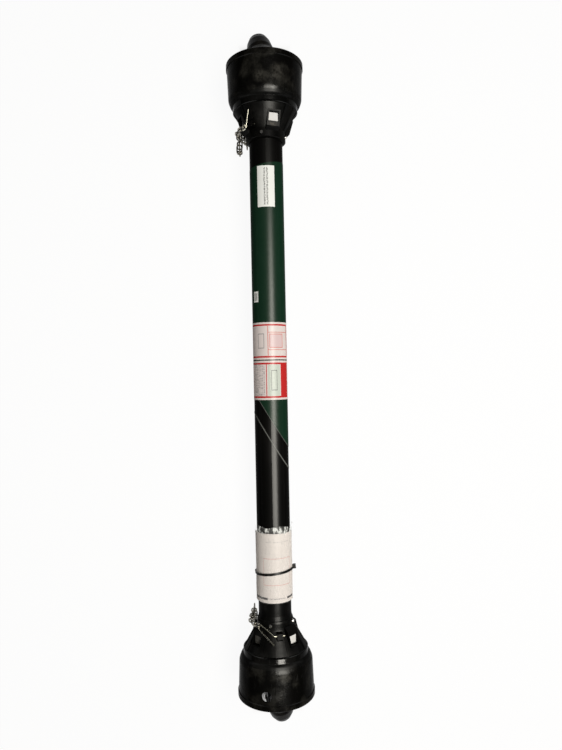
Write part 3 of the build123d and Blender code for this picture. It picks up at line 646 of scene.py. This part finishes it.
@dataclass(frozen=True)
class Print:
    """One plain printed shape on a sheet, in shares of the sheet's length and width."""

    colour: Colour
    middle: tuple[float, float]
    half: tuple[float, float]
    line: tuple[float, float] = (1.0, 1.0)
    marks: tuple[float, float] | None = None


@dataclass(frozen=True)
class PrintedFinish:
    """Paper or film stock with plain printed shapes."""

    name: str
    colour: Colour
    shade: Colour
    roughness: float
    prints: tuple[Print, ...] = ()
    depth: float = 0.00005
    smear_amount: float = 0.35
    specular: float = 0.42
    edge: float = 0.01
    rough_rise: float = 0.12
    smear_size: float = 35.0
    wave: float = 0.8
    coarse: float = 90.0
    fine: float = 2500.0

    def build(self, groups: SharedGroups) -> bpy.types.Material:
        """Makes the material.

        Args:
            groups: the shared groups.

        Returns:
            The new material.
        """
        skin = Skin(self.name, groups)
        n = skin.nodes
        place = n.place()
        smear = skin.group(groups.smear, Vector=place, Size=self.smear_size, Amount=self.smear_amount)
        tone = n.mix(smear.outputs["Mask"], rgba(self.colour), rgba(self.shade))
        chart = n.chart()
        for shape in self.prints:
            sizes = {"Middle": shape.middle, "Half": shape.half, "Line": shape.line}
            values = {f"{name}_{axis}": v for name, pair in sizes.items() for axis, v in zip("UV", pair)}
            panel = skin.group(groups.panel, UV=chart, **values)
            mask = panel.outputs["Mask"]
            if shape.marks:
                broken = skin.group(groups.marks, UV=chart, Along=shape.marks[0], Across=shape.marks[1])
                mask = n.maths("MULTIPLY", mask, broken.outputs["Mask"])
            tone = n.mix(mask, tone, rgba(shape.colour))
        rough = n.span(smear.outputs["Fine"], 0.2, 0.8, self.roughness, self.roughness + self.rough_rise)
        skin.set(
            Base_Color=tone,
            Roughness=rough,
            Specular_IOR_Level=skin.dusty_gloss(self.specular, self.edge),
            Normal=skin.uneven(place, self),
        )
        return skin.material


@dataclass(frozen=True)
class FilmFinish:
    """Thin clear bag film, with half-opaque white patches painted as sheen on its creases."""

    name: str
    colour: Colour = (0.93, 0.95, 0.95)
    clear: float = 0.03
    sheen_opacity: float = 0.75
    closed_extra: float = 0.07
    open_end: tuple[float, float] = (0.895, 0.92)
    roughness: float = 0.16
    stretch: tuple[float, float, float] = (1.0, 2.2, 2.2)
    turn: tuple[float, float, float] = (0.0, 0.3, 0.5)
    smear_size: float = 60.0
    wave: float = 1.0
    coarse: float = 160.0
    fine: float = 700.0
    depth: float = 0.002

    def build(self, groups: SharedGroups) -> bpy.types.Material:
        """Makes the material.

        Args:
            groups: the shared groups.

        Returns:
            The new material.
        """
        skin = Skin(self.name, groups)
        n = skin.nodes
        place = n.place(self.stretch, self.turn)
        smear = skin.group(groups.smear, Vector=place, Size=self.smear_size, Amount=1.0)
        along = n.parts(n.chart())["X"]
        # Painted sheen: half-opaque white cloudy patches, far denser at the open end than along the rest of
        # the bag.
        most = n.span(along, *self.open_end, self.clear + self.closed_extra, self.sheen_opacity)
        skin.set(
            Base_Color=rgba(self.colour),
            Alpha=n.span(smear.outputs["Mask"], 0.1, 0.8, self.clear, most),
            Roughness=self.roughness,
            Normal=skin.uneven(place, self),
        )
        return skin.material


Finish = PlasticFinish | MetalFinish | PrintedFinish | FilmFinish


class Finishes:
    """Every material of the shaft."""

    def __init__(self, groups: SharedGroups) -> None:
        """Builds the materials.

        Args:
            groups: the shared groups.
        """
        red, pale_red, grey = (0.5, 0.025, 0.025), (0.62, 0.22, 0.2), (0.3, 0.29, 0.3)
        white, rose, pale_pink = (0.85, 0.87, 0.87), (0.72, 0.65, 0.65), (0.67, 0.52, 0.54)
        pale_green = (0.55, 0.6, 0.55)
        dust_and_highlight, painted_shade_tone = (0.06, 0.057, 0.05), (0.0024, 0.0023, 0.0021)
        bell_patches = (
            # The first three patches are partly dust and partly painted highlight, pale where the bells' tops
            # face the lamp.
            Patch((0.62, 0.004, 0.163), (0.014, 0.022, 0.02), dust_and_highlight, 0.4),
            Patch((0.629, -0.026, 0.16), (0.02, 0.016, 0.02), dust_and_highlight, 0.45),
            Patch((-0.611, -0.02, 0.162), (0.01, 0.016, 0.02), dust_and_highlight, 0.55),
            # Painted shade: a dark, smear-free patch on bell B's top, where less light falls.
            Patch((-0.64, 0.02, 0.155), (0.034, 0.03, 0.04), painted_shade_tone, 0.9),
        )
        # A paler patch on the cone's window sill, below the nylon lug.
        sill_pale_patch = Patch((0.534, -0.014, 0.126), (0.005, 0.012, 0.012), (0.085, 0.076, 0.064), 0.8)
        # Painted shade: a dark patch on the +Y side of end B's nylon lugs, which lie in shade there.
        lug_painted_shade = Patch((-0.551, 0.038, 0.115), (0.05, 0.03, 0.05), (0.045, 0.043, 0.038), 0.97, 0.95)
        self.tube = PlasticFinish(
            "Extruded tube", (0.0022, 0.0021, 0.002), (0.006, 0.0057, 0.0052), 0.29, 0.36, smear_size=9.0,
            scuffs=0.12, wave=0.4, depth=0.00012, stretch=(0.25, 1.0, 1.0), edge=0.01,
        ).build(groups)
        # The bell has fewer smears below its top, so it is darker towards the bottom.
        self.bell = PlasticFinish(
            "Moulded bell", (0.0022, 0.0021, 0.0019), (0.021, 0.02, 0.0172), 0.23, 0.42, smear_size=30.0,
            smear_amount=0.9, wave=1.0, coarse=42.0, depth=0.0008, edge=0.02, smear_fade_heights=(0.1, 0.15),
            patches=bell_patches,
        ).build(groups)
        self.cone = PlasticFinish(
            "Moulded cone", (0.002, 0.002, 0.0019), (0.009, 0.0086, 0.008), 0.34, 0.5, smear_size=30.0,
            scuffs=0.2, wave=0.8, coarse=70.0, specular=0.3, edge=0.03, polished=(0.0915, 0.1035),
            patches=(sill_pale_patch,),
        ).build(groups)
        self.nylon = PlasticFinish(
            "White nylon", (0.78, 0.78, 0.79), (0.62, 0.6, 0.56), 0.42, 0.55, smear_amount=0.35,
            scuffs=0.05, depth=0.00012, patches=(lug_painted_shade,),
        ).build(groups)
        self.seal = PlasticFinish(
            "Seal rubber", (0.012, 0.012, 0.012), (0.03, 0.028, 0.025), 0.5, 0.7, depth=0.0002
        ).build(groups)
        self.tie = PlasticFinish(
            "Tie nylon", (0.006, 0.006, 0.006), (0.012, 0.012, 0.012), 0.3, 0.42, depth=0.0001
        ).build(groups)
        self.paint = MetalFinish(
            "Black paint", (0.0025, 0.0025, 0.0024), (0.012, 0.011, 0.009), 0.3, 0.5, metallic=0.0,
            scuffs=0.35, scuff_colour=(0.16, 0.15, 0.13), depth=0.0006, coarse=110.0,
        ).build(groups)
        self.zinc = MetalFinish(
            "Zinc plating", (0.72, 0.71, 0.68), (0.38, 0.36, 0.32), 0.3, 0.48, depth=0.0001
        ).build(groups)
        self.ground = MetalFinish(
            "Ground steel", (0.55, 0.55, 0.55), (0.3, 0.28, 0.25), 0.26, 0.45, depth=0.00008
        ).build(groups)
        self.spring = MetalFinish(
            "Spring steel", (0.14, 0.14, 0.145), (0.06, 0.055, 0.05), 0.34, 0.5, depth=0.0001
        ).build(groups)
        self.drawn = MetalFinish(
            "Drawn steel", (0.36, 0.36, 0.36), (0.12, 0.1, 0.07), 0.32, 0.5, stain_size=18.0
        ).build(groups)
        self.chain = MetalFinish(
            "Chain plating", (0.26, 0.245, 0.205), (0.035, 0.031, 0.026), 0.25, 0.5, stain_size=90.0,
            stain_amount=1.0,
        ).build(groups)
        self.wire = MetalFinish(
            "Hook wire", (0.62, 0.6, 0.5), (0.3, 0.28, 0.2), 0.27, 0.42, depth=0.00008
        ).build(groups)
        self.green = PrintedFinish(
            "Green film", (0.006, 0.025, 0.0135), (0.009, 0.031, 0.018), 0.28
        ).build(groups)
        self.stripe = PrintedFinish(
            "Grey film", (0.13, 0.135, 0.13), (0.06, 0.065, 0.06), 0.4, smear_amount=0.9
        ).build(groups)
        ink = (0.05, 0.05, 0.055)
        columns = tuple(Print(ink, (0.5, v), (0.45, 0.045), marks=(42.0, 30.0)) for v in (0.42, 0.58))
        self.label_long = PrintedFinish("White label", white, (0.79, 0.8, 0.79), 0.3, columns).build(groups)
        bars = tuple(Print((0.1, 0.1, 0.1), (0.5, 0.2 + 0.12 * k), (0.36, 0.03)) for k in range(6))
        self.label_small = PrintedFinish("Small label", white, (0.76, 0.77, 0.76), 0.32, bars).build(groups)
        rules = tuple(Print(pale_red, (u, 0.69), (0.009, 0.24)) for u in (0.26, 0.73))
        self.label_upper = PrintedFinish(
            "Upper framed label", rose, (0.65, 0.57, 0.56), 0.3,
            (
                Print(red, (0.5, 0.46), (0.45, 0.47), (0.045, 0.028)),
                *rules,
                Print(pale_red, (0.5, 0.447), (0.42, 0.008)),
                Print(pale_pink, (0.5, 0.62), (0.19, 0.145)),
                Print(pale_red, (0.5, 0.62), (0.19, 0.145), (0.02, 0.014)),
                Print(grey, (0.5, 0.3), (0.2, 0.07), (0.02, 0.012)),
            ),
        ).build(groups)
        lines = tuple(Print(grey, (0.5, 0.14 + 0.036 * k), (0.4, 0.01), marks=(46.0, 9.0)) for k in range(7))
        self.label_lower = PrintedFinish(
            "Lower framed label", rose, (0.65, 0.57, 0.56), 0.3,
            (
                *lines,
                Print(pale_green, (0.5, 0.56), (0.4, 0.125)),
                Print((0.2, 0.21, 0.21), (0.5, 0.56), (0.26, 0.06), (0.02, 0.01)),
                Print(red, (0.5, 0.405), (0.43, 0.008)),
                Print(red, (0.5, 0.46), (0.45, 0.47), (0.045, 0.028)),
                Print(red, (0.5, 0.8), (0.45, 0.1)),
            ),
        ).build(groups)
        self.booklet = PrintedFinish(
            "Booklet cover", (0.735, 0.685, 0.67), (0.68, 0.625, 0.61), 0.4,
            (
                Print((0.09, 0.085, 0.09), (0.062, 0.22), (0.016, 0.15)),
                Print((0.09, 0.085, 0.09), (0.062, 0.86), (0.016, 0.1)),
                Print((0.3, 0.29, 0.3), (0.062, 0.55), (0.01, 0.17), marks=(60.0, 70.0)),
                Print((0.62, 0.33, 0.31), (0.45, 0.57), (0.195, 0.28), (0.007, 0.006)),
                Print((0.45, 0.43, 0.43), (0.88, 0.58), (0.007, 0.24), marks=(40.0, 60.0)),
            ),
            depth=0.0002,
        ).build(groups)
        self.film = FilmFinish("Clear film").build(groups)

    def dress(self) -> dict[str, bpy.types.Material]:
        """Sorts the materials by the kinds of CAD node.

        Returns:
            The material of each kind, by the stem of its nodes' names.
        """
        return {
            "guard_tube": self.tube,
            "profile_tube": self.drawn,
            "bell": self.bell,
            "cone": self.cone,
            "bearing_ring": self.nylon,
            "collar_screws": self.zinc,
            "tube_yoke": self.paint,
            "end_yoke": self.paint,
            "roll_pin": self.spring,
            "tube_cups": self.ground,
            "end_cups": self.ground,
            "tube_snap_rings": self.spring,
            "end_snap_rings": self.spring,
            "cross_seals": self.seal,
            "cross": self.ground,
            "grease_nipple": self.zinc,
            "push_pin": self.zinc,
            "pin_spring": self.spring,
            "pin_cap": self.spring,
            "chain_hook": self.wire,
            "chain": self.chain,
            "manual_booklet": self.booklet,
            "manual_bag": self.film,
            "cable_tie": self.tie,
        }


# Mesh tools
def pose(x: Vector, y: Vector, z: Vector, origin: Sequence[float]) -> Matrix:
    """Makes the matrix of a place in the frame.

    Args:
        x: its x axis.
        y: its y axis.
        z: its z axis.
        origin: its origin.

    Returns:
        The matrix.
    """
    basis = Matrix((x, y, z)).transposed().to_4x4()
    basis.translation = origin
    return basis


def make_object(name: str, shape: bmesh.types.BMesh, material: bpy.types.Material) -> bpy.types.Object:
    """Makes a smooth-shaded object from a finished bmesh, which is then freed.

    Args:
        name: the object's name.
        shape: its shape.
        material: its material.

    Returns:
        The new object.
    """
    mesh = bpy.data.meshes.new(name)
    shape.to_mesh(mesh)
    shape.free()
    piece = bpy.data.objects.new(name, mesh)
    bpy.context.scene.collection.objects.link(piece)
    mesh.materials.append(material)
    for polygon in mesh.polygons:
        polygon.use_smooth = True
    return piece


def settle(piece: bpy.types.Object, body: str, nodes: Sequence[str] = ()) -> bpy.types.Object:
    """Ties a piece to its body and the nodes it stands for.

    Args:
        piece: the piece.
        body: the body that it rides on.
        nodes: the CAD nodes that it replaces.

    Returns:
        The piece.
    """
    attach(piece, body)
    if nodes:
        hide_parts(*nodes)
    LOG.info("%s: %d faces, rides on %s", piece.name, len(piece.data.polygons), body)
    return piece


def slanted(middle: float, slope: float = 0.0, waves: int = 1) -> Edge:
    """Edge of a sheet round the tube, from its x over the tube's top, its slant and its waves."""
    return lambda turn: middle + slope * sin(waves * turn)


@dataclass
class WrappedSheet:
    """A thin sheet wrapped on the guard tube, with slanted or square ends."""

    name: str
    start: Edge
    finish: Edge
    first_turn: float
    last_turn: float
    radius: float
    thickness: float = 0.00018
    steps_along: int = 24
    steps_round: int = 40
    ripple: Ripple | None = None
    sharp_angle: float = radians(50)

    def point(self, u: float, v: float, lift: float) -> Vector:
        """A point of the sheet.

        Args:
            u: share of the length, from the start to the finish.
            v: share of the turn.
            lift: height above the sheet's inside.

        Returns:
            The point, in metres.
        """
        turn = self.first_turn + (self.last_turn - self.first_turn) * v
        x = self.start(turn) + (self.finish(turn) - self.start(turn)) * u
        reach = self.radius + lift + (self.ripple(u, v) if self.ripple else 0.0)
        return Vector((x, -reach * sin(turn), AXIS_HEIGHT + reach * cos(turn)))

    def build(self, material: bpy.types.Material) -> bpy.types.Object:
        """Makes the sheet, closed all round, with its length and turn as UVs.

        Args:
            material: the sheet's material.

        Returns:
            The new object.
        """
        shape = bmesh.new()
        chart = shape.loops.layers.uv.new("UVMap")
        rows, columns = self.steps_along, self.steps_round
        where = {}

        def layer(lift: float) -> list[list[bmesh.types.BMVert]]:
            """Adds one side's grid of points and keeps their place on the sheet.

            Args:
                lift: height above the sheet's inside.

            Returns:
                The points, row by row.
            """
            grid = []
            for i in range(rows + 1):
                shares = [(i / rows, j / columns) for j in range(columns + 1)]
                grid.append([shape.verts.new(self.point(*share, lift)) for share in shares])
                where.update(zip(grid[-1], shares))
            return grid

        inner, outer = layer(0.0), layer(self.thickness)
        faces = []
        for i in range(rows):
            for j in range(columns):
                faces.append((outer[i][j], outer[i + 1][j], outer[i + 1][j + 1], outer[i][j + 1]))
                faces.append((inner[i][j + 1], inner[i + 1][j + 1], inner[i + 1][j], inner[i][j]))
        rim = [(i, 0) for i in range(rows)] + [(rows, j) for j in range(columns)]
        rim += [(i, columns) for i in range(rows, 0, -1)] + [(0, j) for j in range(columns, 0, -1)]
        for (i, j), (k, m) in zip(rim, rim[1:] + rim[:1]):
            faces.append((outer[i][j], inner[i][j], inner[k][m], outer[k][m]))
        for corners in faces:
            face = shape.faces.new(corners)
            for loop in face.loops:
                loop[chart].uv = where[loop.vert]
        bmesh.ops.recalc_face_normals(shape, faces=shape.faces)
        piece = make_object(self.name, shape, material)
        piece.data.set_sharp_from_angle(angle=self.sharp_angle)
        return piece


# Sub-assemblies
@dataclass
class FrameDressing:
    """Gives every CAD node the finish of its kind."""

    finishes: Finishes

    def build(self) -> None:
        """Dresses the nodes."""
        table = self.finishes.dress()
        for name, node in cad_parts.items():
            stem = max((key for key in table if name.startswith(key)), key=len)
            node.data.materials.clear()
            node.data.materials.append(table[stem])
            LOG.info("%s: %s", name, table[stem].name)


@dataclass
class TubeLabels:
    """Green film, its grey stripe and the plain labels on the outer guard tube."""

    finishes: Finishes
    body: str = "guard_outer"
    film_low: float = -0.0846
    low_slant: float = -0.0606
    film_high: float = 0.4573
    high_slant: float = 0.0065
    film_wrap: float = 175.0
    green_lift: float = 0.0002
    label_lift: float = 0.0005

    def build(self) -> None:
        """Makes the sheets."""
        low, high = slanted(self.film_low, self.low_slant), slanted(self.film_high, self.high_slant)
        wrap = self.film_wrap
        self._sheet("green_film", low, high, -wrap, wrap, self.green_lift, "green", 60, 90)
        # Strips along the film's lower edge: x of both edges, and the lift in shares of the film's
        strips = ("grey_stripe", -0.1328, -0.129, 1.0), ("film_edge", -0.0858, -0.084, 1.4)
        for name, near, far, lift in strips:
            edges = slanted(near, self.low_slant), slanted(far, self.low_slant)
            self._sheet(name, *edges, -wrap, wrap, lift * self.green_lift, "stripe", 2, 90)
        # Labels: x of both edges, and the turns where they start and end
        for name, near, far, first, last in (
            ("label_long", 0.364487, 0.451564, -31, 28),
            ("label_small", 0.1644, 0.187171, -58, -37),
            ("label_upper", 0.042113, 0.120756, -80, 88),
            ("label_lower", -0.043277, 0.039583, -80, 88),
        ):
            self._sheet(name, slanted(near), slanted(far), first, last, self.label_lift, name, 20, 40)

    def _sheet(
        self,
        name: str,
        start: Edge,
        finish: Edge,
        first: float,
        last: float,
        lift: float,
        material: str,
        along: int,
        around: int,
    ) -> None:
        """Makes one sheet on the tube.

        Args:
            name: the sheet's name.
            start: x of its lower edge at each turn.
            finish: x of its upper edge at each turn.
            first: turn where it starts, in degrees.
            last: turn where it ends, in degrees.
            lift: height above the tube.
            material: name of its finish.
            along: steps along the tube.
            around: steps round the tube.
        """
        sheet = WrappedSheet(
            name, start, finish, radians(first), radians(last), TUBE_RADIUS + lift,
            steps_along=along, steps_round=around,
        )
        settle(sheet.build(getattr(self.finishes, material)), self.body)


@dataclass
class ManualPack:
    """The booklet, curled round the tube, and the clear bag around it."""

    finishes: Finishes
    body: str = "guard_outer"
    cover_wrap: float = 84.0
    bag_wrap: float = 96.0
    cover_lift: float = 0.0003
    cover_thickness: float = 0.0024
    bag_lift: float = 0.0031
    bag_thickness: float = 0.0002
    corner_lift: float = 0.0004
    corner_wave: float = 0.00025
    open_from: float = 0.85
    fold_depth: float = 0.0008
    fold_lift: float = 0.0003

    def build(self) -> None:
        """Makes the booklet and the bag."""
        low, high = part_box("manual_booklet")
        inside = TUBE_RADIUS + self.cover_lift

        def curl(u: float, v: float) -> float:
            """Slight lift of the cover's corners and long edges."""
            edge = abs(2 * v - 1) ** 6
            return (self.corner_lift + self.corner_wave * sin(9 * u + 4 * v)) * edge

        wrap = radians(self.cover_wrap)
        booklet = WrappedSheet(
            "booklet", slanted(low.x), slanted(high.x), -wrap, wrap,
            inside, self.cover_thickness, 40, 60, curl,
        ).build(self.finishes.booklet)
        settle(booklet, self.body, ["manual_booklet"])
        low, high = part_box("manual_bag")

        def creases(u: float, v: float) -> float:
            """Folds of the loose film, deeper towards the open end.

            Args:
                u: share of the length.
                v: share of the turn.

            Returns:
                The film's lift, in metres.
            """
            slack = 0.25 + 0.75 * max(0.0, (u - self.open_from) / (1.0 - self.open_from))
            fold = 0.5 * sin(31 * v + 5 * sin(7 * u)) + 0.3 * sin(57 * v - 9 * u) + 0.4 * sin(23 * u + 11 * v)
            return self.fold_depth * slack * fold + self.fold_lift

        wrap = radians(self.bag_wrap)
        bag = WrappedSheet(
            "bag_film", slanted(low.x - 0.001), slanted(high.x, 0.002, waves=5), -wrap, wrap,
            inside + self.bag_lift, self.bag_thickness, 90, 120, creases,
        ).build(self.finishes.film)
        settle(bag, self.body, ["manual_bag"])


@dataclass
class SafetyChain:
    """Smooth links in the same places as the guard's chain."""

    finishes: Finishes
    end: End
    hang_inset: float
    hang_radius: float
    near_column: float
    far_column: float
    long_run: int
    last_run: int
    hanging: int = 7
    length: float = 0.022
    width: float = 0.014
    wire: float = 0.0032
    slack: float = 0.0021
    play: float = 0.0009
    lower_layer: float = 0.0073
    layer_step: float = 0.017
    link_steps: int = 32
    wire_steps: int = 10

    @property
    def reach(self) -> float:
        """Distance from a link's middle to the middle of its end's wire."""
        return (self.length - self.wire) / 2

    def link_mesh(self, shape: bmesh.types.BMesh, seat: Matrix) -> None:
        """Adds one link's ring of wire to a mesh.

        Args:
            shape: the mesh under construction.
            seat: the link's place, with its length along x.
        """
        half = (self.width - self.wire) / 2
        straight = self.reach - half
        rings = []
        for k in range(self.link_steps):
            turn = tau * k / self.link_steps
            out = Vector((cos(turn), sin(turn), 0))
            x = half * cos(turn) + (straight if cos(turn) > 0 else -straight)
            middle = Vector((x, half * sin(turn), 0))
            ring = []
            for m in range(self.wire_steps):
                a = tau * m / self.wire_steps
                point = middle + (out * cos(a) + Vector((0, 0, 1)) * sin(a)) * self.wire / 2
                ring.append(shape.verts.new(seat @ point))
            rings.append(ring)
        for ring, after in zip(rings, rings[1:] + rings[:1]):
            for m in range(self.wire_steps):
                following = (m + 1) % self.wire_steps
                shape.faces.new((ring[m], after[m], after[following], ring[following]))

    def seats(self) -> list[Matrix]:
        """Works out where every link lies: up from the ground to the hook, then the hank.

        Returns:
            The links' places, with the length of each along its x.
        """
        side, up, out = Vector((0, 1, 0)), Vector((0, 0, 1)), Vector((self.end.value, 0, 0))
        pitch = 2 * (self.reach - self.slack)
        hook_in = self.reach - self.wire - self.play
        upper = self.lower_layer + self.layer_step
        hang_x = self.end.along(self.hang_inset)
        seats = []

        def put(centre: Vector, ahead: Vector, normal: Vector) -> None:
            """Stores one link's place, from its middle, its length's direction and its plane's normal."""
            seats.append(pose(ahead, normal.cross(ahead), normal, centre))

        put(Vector((hang_x, self.near_column, upper + self.reach)), up, out)
        joints = self.hang_points(pitch)
        for k, (low, high) in enumerate(zip(joints, joints[1:])):
            ahead = (high - low).normalized()
            put((low + high) / 2, ahead, out if k % 2 else ahead.cross(out))

        def run(start: float, count: int, heading: int, column: float, layer: float, upright: bool) -> float:
            """Stores a straight run of links along the shaft.

            Args:
                start: x of the first link.
                count: number of links.
                heading: 1 towards this end of the shaft, -1 away from it.
                column: y of the run.
                layer: height of the run.
                upright: whether the first link stands on its edge.

            Returns:
                X of the last link.
            """
            step = heading * pitch * self.end.value
            x = start
            for k in range(count):
                put(Vector((x, column, layer)), out, side if upright == (k % 2 == 0) else up)
                x += step
            return x - step

        near, far = self.near_column, self.far_column
        middle, middle_layer = (near + far) / 2, (upper + self.lower_layer) / 2
        sign = self.end.value
        first = run(hang_x + sign * hook_in, 2, 1, near, upper, True)
        put(Vector((first + sign * hook_in, middle, upper)), side, out)
        second = run(first, self.long_run, -1, far, upper, False)
        put(Vector((second - sign * hook_in, far, middle_layer)), up, out)
        third = run(second, self.long_run, 1, far, self.lower_layer, True)
        put(Vector((third + sign * hook_in, middle, self.lower_layer)), side, out)
        run(third, self.last_run, -1, near, self.lower_layer, False)
        return seats

    def hang_points(self, pitch: float) -> list[Vector]:
        """Works out the joints of the hanging links: a straight rise, then an arc round the guard.

        Args:
            pitch: distance between two joints.

        Returns:
            The joints, from the lowest one up.
        """
        foot_z = self.lower_layer + self.layer_step + self.length - self.wire - self.slack
        y, z = self.near_column, foot_z - AXIS_HEIGHT
        away = hypot(y, z)
        touch = atan2(z, y) + acos(self.hang_radius / away)
        landing = (self.hang_radius * cos(touch), self.hang_radius * sin(touch))
        rise = hypot(landing[0] - y, landing[1] - z)
        points = []
        for k in range(self.hanging):
            gone = k * pitch
            if gone < rise:
                share = gone / rise
                place = (y + (landing[0] - y) * share, z + (landing[1] - z) * share)
            else:
                turn = touch + (gone - rise) / self.hang_radius
                place = (self.hang_radius * cos(turn), self.hang_radius * sin(turn))
            points.append(Vector((self.end.along(self.hang_inset), place[0], AXIS_HEIGHT + place[1])))
        return points

    def build(self) -> None:
        """Makes the chain."""
        shape = bmesh.new()
        for seat in self.seats():
            self.link_mesh(shape, seat)
        bmesh.ops.recalc_face_normals(shape, faces=shape.faces)
        body = "guard_outer" if self.end is End.A else "guard_inner"
        piece = make_object(f"links_{self.end.tag}", shape, self.finishes.chain)
        settle(piece, body, [f"chain_{self.end.tag}"])


# Studio and camera
@dataclass
class Studio:
    """Pale floor, a soft lamp and the camera over the shaft's middle."""

    camera_height: float = AXIS_HEIGHT + 1.32
    camera_x: float = 0.0088
    camera_y: float = -0.023
    roll: float = 1.146
    focal_pixels: float = 609.0
    picture_height: float = 750.0
    sensor: float = 24.0
    nearest: float = 0.01
    lamp_place: tuple[float, float, float] = (-0.16, -0.7, 2.08)
    lamp_size: tuple[float, float] = (1.8, 0.85)
    lamp_power: float = 56.0
    lamp_colour: Colour = (1.0, 0.965, 0.88)
    world_light: float = 0.025
    floor_glow: float = 0.94
    floor_colour: Colour = (0.86, 0.86, 0.86)
    floor_roughness: float = 0.9
    floor_specular: float = 0.1
    floor_size: float = 6.0
    floor_drop: float = 0.0005
    shade_by_tube: tuple[float, float] = (0.028, 0.036)
    shade_by_bell: tuple[float, float] = (0.02, 0.064)
    bell_start: tuple[float, float] = (0.6, 0.66)
    shade_end: tuple[float, float] = (0.715, 0.775)

    def build(self) -> None:
        """Sets up the camera, the lamp, the world and the floor."""
        scene = bpy.context.scene
        scene.view_settings.view_transform = "Standard"
        self._camera(scene)
        self._lamp(scene)
        self._world(scene)
        self._floor()

    def _camera(self, scene: bpy.types.Scene) -> None:
        """Looks straight down, with the shaft upright and leaning as in the picture.

        Args:
            scene: the scene that gets the camera.
        """
        data = bpy.data.cameras.new("Camera")
        data.sensor_fit = "VERTICAL"
        data.sensor_height = self.sensor
        data.lens = self.sensor * self.focal_pixels / self.picture_height
        data.clip_start = self.nearest
        camera = bpy.data.objects.new("Camera", data)
        scene.collection.objects.link(camera)
        lean = radians(self.roll)
        right = Vector((-sin(lean), -cos(lean), 0))
        up = Vector((cos(lean), -sin(lean), 0))
        origin = (self.camera_x, self.camera_y, self.camera_height)
        camera.matrix_world = pose(right, up, Vector((0, 0, 1)), origin)
        scene.camera = camera

    def _lamp(self, scene: bpy.types.Scene) -> None:
        """Adds the area lamp, beside the camera and turned to the shaft.

        Args:
            scene: the scene that gets the lamp.
        """
        data = bpy.data.lights.new("Key", "AREA")
        data.shape = "RECTANGLE"
        data.size, data.size_y = self.lamp_size
        data.energy = self.lamp_power
        data.color = self.lamp_colour
        lamp = bpy.data.objects.new("Key", data)
        scene.collection.objects.link(lamp)
        aim = Vector((self.lamp_place[0], 0, AXIS_HEIGHT)) - Vector(self.lamp_place)
        back = -aim.normalized()
        across = Vector((1, 0, 0))
        lamp.matrix_world = pose(across, back.cross(across), back, self.lamp_place)

    def _world(self, scene: bpy.types.Scene) -> None:
        """Adds even light from all round, white where the eye or clear film sees it.

        Args:
            scene: the scene that gets the world.
        """
        world = bpy.data.worlds.new("Room")
        scene.world = world
        world.use_nodes = True
        n = Nodes(world.node_tree)
        room = n.add("ShaderNodeBackground")
        room.inputs["Strength"].default_value = self.world_light
        backdrop = n.add("ShaderNodeBackground")
        backdrop.inputs["Color"].default_value = rgba((1.0, 1.0, 1.0))
        seen = n.rays("Is Camera Ray", "Is Transmission Ray")
        n.surface("ShaderNodeOutputWorld", seen, room, backdrop)

    def _floor(self) -> None:
        """Adds a wide pale floor whose glow stops in the shaft's shadow.

        The floor is square to the frame, so its glow is set by the distances across and along it.
        """
        shape = bmesh.new()
        bmesh.ops.create_grid(shape, x_segments=2, y_segments=2, size=self.floor_size)
        material = bpy.data.materials.new("Pale floor")
        material.use_nodes = True
        n = Nodes(material.node_tree)
        shader = n.add("ShaderNodeBsdfPrincipled")
        shader.inputs["Base Color"].default_value = rgba(self.floor_colour)
        shader.inputs["Roughness"].default_value = self.floor_roughness
        shader.inputs["Specular IOR Level"].default_value = self.floor_specular
        glow = n.add("ShaderNodeEmission")
        split = n.parts(n.place())
        across, along = (n.maths("ABSOLUTE", split[axis]) for axis in "YX")
        by_tube = n.span(across, *self.shade_by_tube, 0.0, 1.0)
        by_bell = n.span(across, *self.shade_by_bell, 0.0, 1.0)
        aside = n.span(along, *self.bell_start, by_tube, by_bell)
        lit = n.maths("MAXIMUM", aside, n.span(along, *self.shade_end, 0.0, 1.0))
        seen = n.rays("Is Camera Ray", "Is Transmission Ray", "Is Glossy Ray")
        share = n.maths("MULTIPLY", seen, n.maths("MULTIPLY", lit, self.floor_glow))
        n.surface("ShaderNodeOutputMaterial", share, shader, glow)
        floor = make_object("Floor", shape, material)
        floor.location.z = -self.floor_drop


def main() -> None:
    """Builds the studio, the finishes and every piece."""
    logging.basicConfig(level=logging.INFO, format="%(name)s: %(message)s")
    Studio().build()
    finishes = Finishes(SharedGroups())
    for assembly in (
        FrameDressing(finishes),
        TubeLabels(finishes),
        ManualPack(finishes),
        SafetyChain(
            finishes, End.A, hang_inset=0.146, hang_radius=0.060, near_column=0.044, far_column=0.061,
            long_run=3, last_run=2,
        ),
        SafetyChain(
            finishes, End.B, hang_inset=0.159, hang_radius=0.052, near_column=0.048, far_column=0.031,
            long_run=2, last_run=2,
        ),
    ):
        LOG.info("Building %s", type(assembly).__name__)
        assembly.build()


if __name__ == "__main__":
    main()
